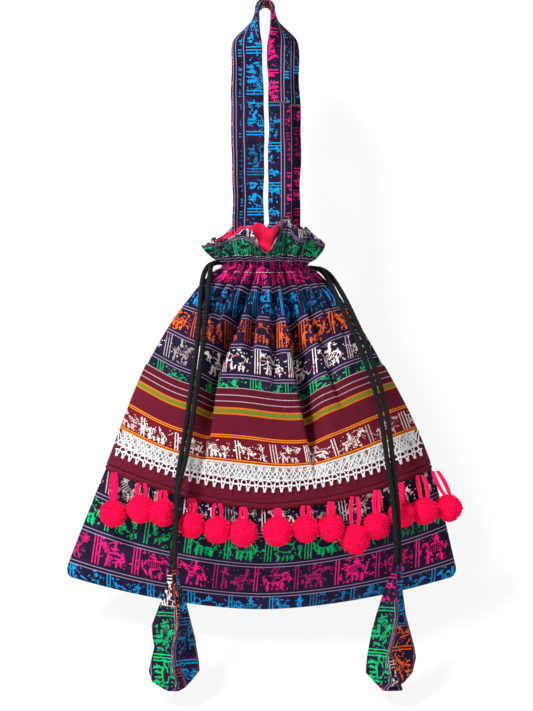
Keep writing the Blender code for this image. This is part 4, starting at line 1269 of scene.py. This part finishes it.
# The handles
STRAP_WIDTH = 0.0188
STRAP_LEAN = 0.0012
STRAP_TURN_LENGTH = 0.084
STRAP_THICKNESS = 0.0036
FRONT_LEG_X = 0.0112
BACK_LEG_X = 0.0200
HANDLE_SPREAD = 0.0105
TOP_BEND_RADIUS = 0.0050
HANDLE_ROOT = 0.0105
STRAP_TWIST_LENGTH = 0.050
STRAP_SPREAD_LENGTH = 0.030
STRAP_ROOT_Y = {FRONT: -0.0240, BACK: 0.0225}
STRAP_SIDES = 40


STRAP_LEG_POINTS = 130
STRAP_BEND_POINTS = 12
STRAP_DENT = 0.42
STRAP_DENT_WIDTH = 0.055
STRAP_WIDEST = 1.05
# How each leg's width swells, with the strength and rate of two waves, and how its lengthwise crease wanders,
# with its middle, strength and rate
RIGHT_LEG = {"swell": ((0.06, 0.09), (0.04, 0.23)), "crease": (-0.05, 0.16, 0.045)}
LEFT_LEG = {"swell": ((0.06, 0.08), (0.03, 0.27)), "crease": (0.10, 0.14, 0.05)}
# Powers that make the strap's section squarer than an ellipse: across it, and through its thickness
EDGE_POWER = 0.75
FACE_POWER = 0.60


def strap_path(side, leg_x):
    """Middle points, turns and tilts of half a strap, from the middle of its top bend to its root."""
    bend = TOP_BEND_RADIUS + 0.5 * STRAP_THICKNESS
    root_z = NECK_Z + HANDLE_ROOT
    rim_z = NECK_Z + FRILL_HEIGHT
    over_y = side * HANDLE_SPREAD
    half = []
    for z in np.linspace(root_z, -TOP_BEND_RADIUS, STRAP_LEG_POINTS):
        edge_on = float(smooth_step(z, -STRAP_TWIST_LENGTH, 0.0))
        narrowed = float(smooth_step(z, -STRAP_SPREAD_LENGTH, -TOP_BEND_RADIUS))
        risen = float(smooth_step(z, root_z, 0.5 * rim_z))
        x = leg_x + (bend - leg_x) * narrowed
        y = STRAP_ROOT_Y[side] + (over_y - STRAP_ROOT_Y[side]) * risen
        half.append((x, y, z, 0.5 * math.pi * edge_on, 0.0))
    for tilt in np.linspace(0.0, 0.5 * math.pi, STRAP_BEND_POINTS)[1:]:
        x = bend * math.cos(tilt)
        z = -TOP_BEND_RADIUS + bend * math.sin(tilt)
        half.append((x, over_y, z, 0.5 * math.pi, tilt))
    return np.array(half)[::-1]


def rounded(wave, power):
    """A wave from -1 to 1 with its sides made steeper."""
    return np.sign(wave) * np.abs(wave) ** power


def strap_ring(place, wide, crease):
    """The strap's section at one place: a flat padded tube with a lengthwise crease in its face."""
    x, y, z, turn, tilt = place
    width_way = np.array([math.cos(turn), math.sin(turn), 0.0])
    thick_way = np.array([math.sin(turn) * math.cos(tilt), -math.cos(turn) * math.cos(tilt), math.sin(tilt)])
    angles = full_turn(STRAP_SIDES)
    across = 0.5 * rounded(np.cos(angles), EDGE_POWER)
    deep = 0.5 * rounded(np.sin(angles), FACE_POWER)
    dent = 1.0 - STRAP_DENT * np.exp(-((across - crease) / STRAP_DENT_WIDTH) ** 2)
    middle = np.array([x, y, z])
    return middle + wide * across[:, None] * width_way + STRAP_THICKNESS * (deep * dent)[:, None] * thick_way


def strap_leg(path, leg, swell_start, crease_start):
    """The rings of one leg of a strap, from the middle of the top bend down."""
    (strong, slow), (weak, fast) = leg["swell"]
    middle, swing, rate = leg["crease"]
    rings = []
    for number, place in enumerate(path):
        swell = 1.0 + strong * math.sin(slow * number + swell_start) + weak * math.sin(fast * number)
        crease = middle + swing * math.sin(rate * number + crease_start)
        rings.append(strap_ring(place, STRAP_WIDTH * min(STRAP_WIDEST, swell), crease))
    return rings


def strap_rows(rings, along, shift):
    """Which part of the weave shows round the strap, which is of another cut on its upper right."""
    angles = 2.0 * math.pi * np.arange(STRAP_SIDES + 1) / STRAP_SIDES
    girth = 0.5 * STRAP_WIDTH * rounded(np.cos(angles), EDGE_POWER)
    girth = girth + np.where(np.sin(angles) < 0.0, ROW_PITCH * 2.0, 0.0)
    over = smooth_step(along / along[-1], 0.49, 0.51)[:, None]
    left_rows = FIRST_ROW + shift[0] + girth[None, :]
    right_rows = FIRST_ROW + shift[1] - girth[None, :]
    rows = left_rows + (right_rows - left_rows) * np.round(over)
    upper_rows = FIRST_ROW + 5.0 * ROW_PITCH - 0.0015 + girth[None, :]
    middle = rings.mean(axis=1)
    turned = (middle[:, :1] > 0.0) & (middle[:, 2:] > -STRAP_TURN_LENGTH)
    return np.where(turned, upper_rows, rows)


def make_handle(name, side, leg_x, node, material, shift):
    """A padded strap of the patterned cloth, with rows along it, from mouth over the top to mouth."""
    path = strap_path(side, leg_x)
    right = strap_leg(path, RIGHT_LEG, side, 0.6 * side)
    left = [ring * np.array([-1.0, 1.0, 1.0]) for ring in strap_leg(path, LEFT_LEG, 2.0, 1.0)]
    over_top = 0.5 * (right[0] + left[0])
    rings = np.array(left[:0:-1] + [over_top] + right[1:])
    leaning = smooth_step(-rings[..., 2], TOP_BEND_RADIUS, 3.0 * STRAP_TWIST_LENGTH)
    rings[..., 0] += STRAP_LEAN * leaning
    along = lengths_along(rings.mean(axis=1))
    closed = np.concatenate([rings, rings[:, :1]], axis=1)
    flat = layered(along[:, None], strap_rows(rings, along, shift))
    faces = grid_faces(len(rings), STRAP_SIDES + 1).tolist()
    faces += end_caps(len(rings), STRAP_SIDES + 1, STRAP_SIDES)
    strap = make_piece(name, closed, faces, material, flat)
    dress(strap, "root", "handle_cloth", node)


# The tassels and the pom-poms
TASSEL_HALF_WIDTH = 0.0235
TASSEL_HALF_DEPTH = 0.0150
TASSEL_PIVOTS = {"left": (-0.0765, -0.0555, -0.4783), "right": (0.1097, -0.0541, -0.4743)}
TASSEL_ROWS = 90
FACET_COLUMNS = 16
# Each tassel's outline seen from the front: how far down, its left edge, its ridge and its right edge
LEFT_TASSEL = (
    (-0.0085, -0.0030, 0.0000, 0.0030),
    (0.0069, -0.0042, 0.0004, 0.0056),
    (0.0135, -0.0056, 0.0012, 0.0085),
    (0.0268, -0.0110, 0.0040, 0.0121),
    (0.0425, -0.0169, 0.0050, 0.0160),
    (0.0524, -0.0160, 0.0030, 0.0187),
    (0.0600, -0.0146, 0.0014, 0.0196),
    (0.0700, -0.0170, 0.0015, 0.0215),
    (0.0797, -0.0193, 0.0030, 0.0224),
    (0.0888, -0.0165, 0.0060, 0.0150),
    (0.0945, -0.0075, 0.0050, 0.0095),
    (0.0965, -0.0030, 0.0020, 0.0050),
)
RIGHT_TASSEL = (
    (-0.0060, -0.0034, -0.0004, 0.0028),
    (0.0060, -0.0058, -0.0010, 0.0032),
    (0.0175, -0.0110, -0.0010, 0.0038),
    (0.0380, -0.0176, 0.0000, 0.0066),
    (0.0506, -0.0210, -0.0030, 0.0100),
    (0.0650, -0.0236, -0.0072, 0.0138),
    (0.0729, -0.0250, -0.0080, 0.0150),
    (0.0853, -0.0262, -0.0060, 0.0122),
    (0.0936, -0.0185, -0.0050, 0.0050),
    (0.0990, -0.0135, -0.0085, -0.0040),
    (0.1004, -0.0110, -0.0085, -0.0060),
)
# Rows of the weave on the front left, front right, back right and back left of each tassel
FACET_ROWS = {"left": (3, 0, 4, 1), "right": (3, 1, 0, 4)}
# Other rows that show on a facet: the first and last level down, how far from the ridge they reach, the row,
# and how far into it they start
ANYWHERE = 1.0
OTHER_ROWS = {
    ("left", 0): ((-ANYWHERE, 0.026, ANYWHERE, 2, 0.004),),
    ("right", 0): ((-ANYWHERE, 0.026, ANYWHERE, 4, 0.004),),
    ("left", 1): ((-ANYWHERE, 0.055, 0.0040, 1, 0.008), (0.074, ANYWHERE, 0.0085, 4, 0.006)),
    ("right", 1): ((-ANYWHERE, 0.046, ANYWHERE, 5, 0.006), (0.070, ANYWHERE, 0.0080, 2, 0.006)),
}
FACET_HOLLOW = 0.10
FACET_WAVE = 0.0007
FACET_PIPE = 0.0005
FACET_PIPE_WIDTH = 0.06
TASSEL_THINNEST = 0.0016
TASSEL_BLUNT_END = 0.016


def tassel_rows(word, facet, down, from_ridge):
    """Which part of the weave shows on a facet, measured from its folded edge."""
    start = FIRST_ROW + FACET_ROWS[word][facet] * ROW_PITCH + from_ridge
    for high, low, reach, row, into in OTHER_ROWS.get((word, facet), ()):
        there = (down > high) & (down < low) & (from_ridge < reach)
        start = np.where(there, FIRST_ROW + row * ROW_PITCH + into + from_ridge, start)
    return start


def make_tassel(name, word, material):
    """A square of the patterned cloth folded into a faceted drop, piped along its folds."""
    table = np.array(LEFT_TASSEL if word == "left" else RIGHT_TASSEL)
    share = np.linspace(0.0, 1.0, TASSEL_ROWS)
    share = share + 0.06 * np.sin(2.0 * math.pi * share) / math.pi
    down = table[0, 0] + (table[-1, 0] - table[0, 0]) * share
    left, ridge, right = (np.interp(down, table[:, 0], table[:, column]) for column in (1, 2, 3))
    deep = TASSEL_HALF_DEPTH * np.clip(1.25 * (right - left) / (2.0 * TASSEL_HALF_WIDTH), 0.0, 1.0)
    blunt = np.clip((table[-1, 0] - down) / TASSEL_BLUNT_END, 0.02, 1.0) ** 0.5
    deep = np.maximum(deep * blunt, TASSEL_THINNEST)
    corners = (
        layered(left, 0.15 * deep),
        layered(ridge, -deep),
        layered(right, 0.10 * deep),
        layered(-0.5 * ridge, deep),
    )
    within = np.arange(FACET_COLUMNS) / FACET_COLUMNS
    down = down[:, None]
    columns = []
    maps = []
    for facet in range(4):
        first = corners[facet][:, None]
        across = corners[(facet + 1) % 4][:, None] - first
        length = np.linalg.norm(across, axis=-1)
        outward = np.stack([across[..., 1], -across[..., 0]], axis=-1) / length[..., None]
        hollow = FACET_HOLLOW * np.sin(math.pi * within) * smooth_step(down, 0.010, 0.050)
        wave = FACET_WAVE * np.sin(within * 9.0 + down / 0.006 + facet) * np.sin(math.pi * within)
        pipe = FACET_PIPE * np.exp(-(np.minimum(within, 1.0 - within) / FACET_PIPE_WIDTH) ** 2)
        flat_place = first + across * within[None, :, None]
        columns.append(flat_place + (wave + pipe - hollow * length)[..., None] * outward)
        from_ridge = np.where(facet in (0, 2), 1.0 - within, within) * length
        maps.append(layered(down + 0.03 * facet, tassel_rows(word, facet, down, from_ridge)))
    section = np.concatenate([*columns, columns[0][:, :1]], axis=1)
    flat = np.concatenate([*maps, maps[-1][:, -1:]], axis=1)
    around = 4 * FACET_COLUMNS
    points = np.array(TASSEL_PIVOTS[word]) + layered(section[..., 0], section[..., 1], -down)
    faces = grid_faces(TASSEL_ROWS, around + 1).tolist() + end_caps(TASSEL_ROWS, around + 1, around)
    tassel = make_piece(name, points, faces, material, flat)
    dress(tassel, f"tassel_{word}", "tassel_cloth", f"tassel_{word}")


POMPOM_RADIUS = 0.0112
# How much larger or smaller than the others some of the balls are
POMPOM_SWELL = {2: 1.04, 4: 0.97, 6: 1.04, 7: 1.10, 8: 0.98, 10: 1.09}
POMPOM_STRANDS = 1700


# At three places along each strand, from its root: share of the ball's radius, share of the strand's bend,
# radius of the strand, and its painted light, from painted shade at the root to a painted highlight at the
# end
STRAND_SHARES = (0.84, 0.93, 1.0)
STRAND_BENDS = (0.0, 0.5, 1.0)
STRAND_SIZES = (0.00050, 0.00060, 0.00034)
STRAND_PAINTED_LIGHT = (0.0, 0.6, 1.0)
STRAND_WANDER = 0.035
STRAND_BEND = 0.00040
BALL_FORWARD = 0.0010
BALL_UNEVEN = 0.035
CORE_SHARE = 0.984
CORE_ROWS = 24
CORE_COLUMNS = 36
# The core's painted light, kept low: painted shade under the strands
CORE_PAINTED_LIGHT = 0.15
LOOP_STRANDS = 8
LOOP_POINTS = 12
LOOP_WIDTH = 0.0082
LOOP_STRAND_RADIUS = 0.00070
LOOP_PARTED = 0.22


def unevenness(way, number):
    """How far a ball is from round, in each direction."""
    return 1.0 + BALL_UNEVEN * np.sin(3.0 * way[..., 0] + number) * np.cos(4.0 * way[..., 2] + 2.0 * number)


def make_pompom(number, material):
    """A ball of cut yarn: a soft core and its strands' cut ends."""
    low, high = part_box(f"pompom_{number:02d}")
    middle = 0.5 * (np.array(low) + np.array(high)) + np.array([0.0, -BALL_FORWARD, 0.0])
    radius = POMPOM_RADIUS * POMPOM_SWELL.get(number, 1.0)
    ranks = np.arange(POMPOM_STRANDS) + 0.5
    lift = np.arccos(1.0 - 2.0 * ranks / POMPOM_STRANDS)
    turn = math.pi * (1.0 + math.sqrt(5.0)) * ranks + number
    way = layered(np.cos(turn) * np.sin(lift), np.sin(turn) * np.sin(lift), np.cos(lift))
    way = way + random.normal(0.0, STRAND_WANDER, way.shape)
    way = way / np.linalg.norm(way, axis=-1, keepdims=True)
    tip = radius * unevenness(way, number) * random.uniform(0.992, 1.030, POMPOM_STRANDS)
    bend = random.normal(0.0, STRAND_BEND, way.shape)
    paths = np.stack([
        middle + way * (share * tip)[:, None] + bent * bend
        for share, bent in zip(STRAND_SHARES, STRAND_BENDS)
    ], axis=1)
    points, faces = tubes(paths, np.array(STRAND_SIZES)[None, :, None], 3, (0.31, 0.87, 0.39))
    # A random share of the painted light for each strand, so that painted shade streaks between the strands
    streak_light = random.uniform(0.45, 1.0, (POMPOM_STRANDS, 1, 1))
    painted_light = streak_light * np.broadcast_to(np.array(STRAND_PAINTED_LIGHT)[None, :, None], (POMPOM_STRANDS, 3, 3))
    sides_and_cut_ends = [face for face in faces if len(face) == 4] + faces[-POMPOM_STRANDS:]
    polar = np.linspace(0.02, math.pi - 0.02, CORE_ROWS)[:, None]
    round_way = full_turn(CORE_COLUMNS)[None, :]
    ball = layered(np.sin(polar) * np.cos(round_way), np.sin(polar) * np.sin(round_way), np.cos(polar))
    core = (middle + CORE_SHARE * radius * unevenness(ball, number)[..., None] * ball).reshape(-1, 3)
    core_faces = grid_faces(CORE_ROWS, CORE_COLUMNS, wrap=True, start=len(points)).tolist()
    core_faces += [cap[::-1] for cap in end_caps(CORE_ROWS, CORE_COLUMNS, CORE_COLUMNS, len(points))]
    points = np.concatenate([points, core])
    painted_light = np.concatenate([painted_light.ravel(), np.full(len(core), CORE_PAINTED_LIGHT)])
    faces = sides_and_cut_ends + core_faces
    obj = make_piece(f"yarn_ball_{number:02d}", points, faces, material, outward=False, painted_light=painted_light)
    dress(obj, f"pompom_{number:02d}", "pompom_yarn", f"pompom_{number:02d}")
    return middle


def make_yarn_loop(number, ball, material):
    """The two small bundles of yarn that a ball hangs by, from round the hem down into the ball."""
    low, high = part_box(f"pompom_loop_{number:02d}")
    start = np.array([0.5 * (low[0] + high[0]), 0.0, high[2] + 0.0020])
    start[1] = (high[1] if abs(ball[1] - high[1]) > abs(ball[1] - low[1]) else low[1]) - 0.0014
    end = ball + np.array([0.0, -0.0020, 0.0085])
    step = np.linspace(0.0, 1.0, LOOP_POINTS)
    spread = (np.arange(LOOP_STRANDS) - 0.5 * (LOOP_STRANDS - 1)) / LOOP_STRANDS
    parted = random.uniform(0.00, LOOP_PARTED) * np.sign(spread)
    spread = 0.86 * spread + parted
    narrow = 0.52 + 0.48 * np.sin(math.pi * np.clip(step * 0.9 + 0.08, 0.0, 1.0))
    lines = start + (end - start) * step[None, :, None] + np.zeros((LOOP_STRANDS, 1, 1))
    lines[:, :, 0] += LOOP_WIDTH * spread[:, None] * narrow[None, :]
    bow = np.sin(math.pi * step)[None, :]
    wander = random.normal(0.0, 1.0, (LOOP_STRANDS, 1)) * bow
    lines[:, :, 1] += 0.00035 * wander - 0.0006 * bow
    lines[:, :, 0] += 0.00025 * wander
    size = LOOP_STRAND_RADIUS * (1.0 - 0.25 * step)[None, :, None]
    made = tubes(lines, size, 6, (0.0, 1.0, 0.05))
    # Each strand of the loop gets a random amount of painted light, so that some show painted shade beside
    # the others
    painted_light = np.repeat(random.uniform(0.05, 0.85, LOOP_STRANDS), len(made[0]) // LOOP_STRANDS)
    loop = join_tubes(f"yarn_loop_{number:02d}", [made], material, painted_light=painted_light)
    dress(loop, f"pompom_{number:02d}", "pompom_yarn", f"pompom_loop_{number:02d}")


STITCH_LEVELS = (-0.0074, 0.0070)
STITCHES = 46
STITCH_RADIUS = 0.00018
STITCH_RISE = 0.0003


def make_stitches(material):
    """The casing's two rows of stitches, above and below the cord."""
    made = []
    along = np.linspace(-1.0, 1.0, 5)[None, :]
    lift = STITCH_RISE + STITCH_RISE * np.sin(math.pi * np.linspace(0.0, 1.0, 5))[None, :]
    angle = np.linspace(0.16, math.pi - 0.16, STITCHES)[:, None] + 0.020 * along
    for side in (FRONT, BACK):
        for level in STITCH_LEVELS:
            made.append(tubes(cloth_points(angle, level, side, lift), STITCH_RADIUS, 4, (0.0, 0.2, 1.0)))
    stitches = join_tubes("casing_stitches", made, material)
    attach(stitches, "root")


# Light and backdrop
BACKDROP_Y = 0.085
FLOOR_Z = -0.640
BACKDROP_GLOW = 0.87
BACKDROP_BEND = 0.30
BEND_STEPS = 12
BACKDROP_REACH = 4.0
WHITE_PAPER = (0.93, 0.93, 0.935, 1.0)
SKY_LIGHT = 0.17
# The rays that see the backdrop and the sky as white, while the rest get only their own light
SEEING_RAYS = ("Is Camera Ray", "Is Glossy Ray", "Is Transmission Ray")
# Each lamp's name, place, size across and watts
LAMPS = (
    ("key", (-1.00, -1.05, 1.05), 0.40, 56.0),
    ("fill", (0.7, -2.5, 0.3), 1.4, 12.0),
)
LAMP_AIM = (0.0, 0.0, -0.33)


def make_backdrop():
    """A plain white sweep behind and under the bag, clear when it is seen from behind."""
    bpy.ops.object.select_all(action="DESELECT")
    bpy.ops.mesh.primitive_plane_add(size=1.0, location=(0.0, BACKDROP_Y, 0.0))
    sweep = bpy.context.object
    sweep.name = "backdrop"
    bend = BACKDROP_BEND
    rows = [(-BACKDROP_REACH, FLOOR_Z)]
    for step in range(BEND_STEPS + 1):
        turn = 0.5 * math.pi * step / BEND_STEPS
        rows.append((BACKDROP_Y - bend + bend * math.sin(turn), FLOOR_Z + bend - bend * math.cos(turn)))
    rows.append((BACKDROP_Y, BACKDROP_REACH))
    points = [(x, y, z) for y, z in rows for x in (-BACKDROP_REACH, BACKDROP_REACH)]
    faces = [(2 * n, 2 * n + 1, 2 * n + 3, 2 * n + 2) for n in range(len(rows) - 1)]
    sweep.data.clear_geometry()
    sweep.data.from_pydata([(x, y - BACKDROP_Y, z) for x, y, z in points], [], faces)
    sweep.data.shade_smooth()
    dye = Dye("white_sweep", roughness=0.95, specular=0.0)
    dye.shader.inputs["Base Color"].default_value = WHITE_PAPER
    glow = dye.node("ShaderNodeEmission").outputs[0]
    rays = dye.node("ShaderNodeLightPath").outputs
    seen = dye.any_of(*(rays[word] for word in SEEING_RAYS))
    seen = dye.math("MULTIPLY", seen, BACKDROP_GLOW)
    white = dye.node("ShaderNodeMixShader", (seen, dye.shader.outputs[0], glow)).outputs[0]
    seen_from_behind = dye.node("ShaderNodeNewGeometry").outputs["Backfacing"]
    clear = dye.node("ShaderNodeBsdfTransparent").outputs[0]
    both = dye.node("ShaderNodeMixShader", (seen_from_behind, white, clear))
    output = dye.tree.nodes["Material Output"]
    dye.tree.links.new(both.outputs[0], output.inputs["Surface"])
    sweep.data.materials.append(dye.material)


def make_light(name, place, size, watts):
    """A round lamp that faces the bag's middle."""
    data = bpy.data.lights.new(name, "AREA")
    data.shape = "DISK"
    data.size = size
    data.energy = watts
    light = bpy.data.objects.new(name, data)
    light.location = place
    towards = np.array(LAMP_AIM) - np.array(place)
    light.rotation_euler = Vector(towards).to_track_quat("-Z", "Y").to_euler()
    bpy.context.scene.collection.objects.link(light)


def make_lights():
    """A small key from the upper left, a large and weaker fill from the front right, and an even sky."""
    for lamp in LAMPS:
        make_light(*lamp)
    world = bpy.data.worlds.new("sky")
    world.use_nodes = True
    tree = world.node_tree
    sky = tree.nodes["Background"]
    sky.inputs["Color"].default_value = (1.0, 1.0, 1.0, 1.0)
    rays = tree.nodes.new("ShaderNodeLightPath").outputs
    seen = rays[SEEING_RAYS[0]]
    for word in SEEING_RAYS[1:]:
        either = tree.nodes.new("ShaderNodeMath")
        either.operation = "MAXIMUM"
        tree.links.new(seen, either.inputs[0])
        tree.links.new(rays[word], either.inputs[1])
        seen = either.outputs[0]
    strength = tree.nodes.new("ShaderNodeMath")
    strength.operation = "MULTIPLY_ADD"
    strength.inputs[1].default_value = 1.0 - SKY_LIGHT
    strength.inputs[2].default_value = SKY_LIGHT
    tree.links.new(seen, strength.inputs[0])
    tree.links.new(strength.outputs[0], sky.inputs["Strength"])
    bpy.context.scene.world = world
    bpy.context.scene.view_settings.view_transform = "Standard"


def main():
    make_camera()
    braid = dye_braid()
    cords = make_free_cords(braid)
    patterned = dye_patterned_cloth("patterned_cloth")
    yarn = dye_yarn()
    for side in ("left", "right"):
        make_tassel(f"folded_tassel_{side}", side, patterned)
    for side in ("left", "right"):
        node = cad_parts[f"drawcord_{side}_in_casing"]
        black = dye_plain(
            f"casing_cord_{side}", linear(14, 14, 15), linear(34, 34, 36), 0.65, 900.0, weave=False
        )
        node.data.materials.clear()
        node.data.materials.append(black)
    make_panel("front_cloth", FRONT, "front_panel", patterned)
    make_panel("back_cloth", BACK, "back_panel", patterned)
    make_lining(dye_plain("pink_lining", linear(206, 6, 58), linear(228, 12, 70), 0.85, 60.0, sheen=0.0))
    make_band(dye_band_cloth())
    make_hem(dye_hem())
    make_lace_tape(dye_lace())
    crochet = dye_crochet()
    make_lace_loops(crochet)
    make_stitches(crochet)
    make_handle("front_strap", FRONT, FRONT_LEG_X, "handle_front", patterned, (0.0190, 0.0044))
    make_handle("back_strap", BACK, BACK_LEG_X, "handle_back", patterned, (0.0210, 0.0020))
    for number in range(1, 15):
        ball = make_pompom(number, yarn)
        make_yarn_loop(number, ball, yarn)
    make_backdrop()
    make_lights()


main()
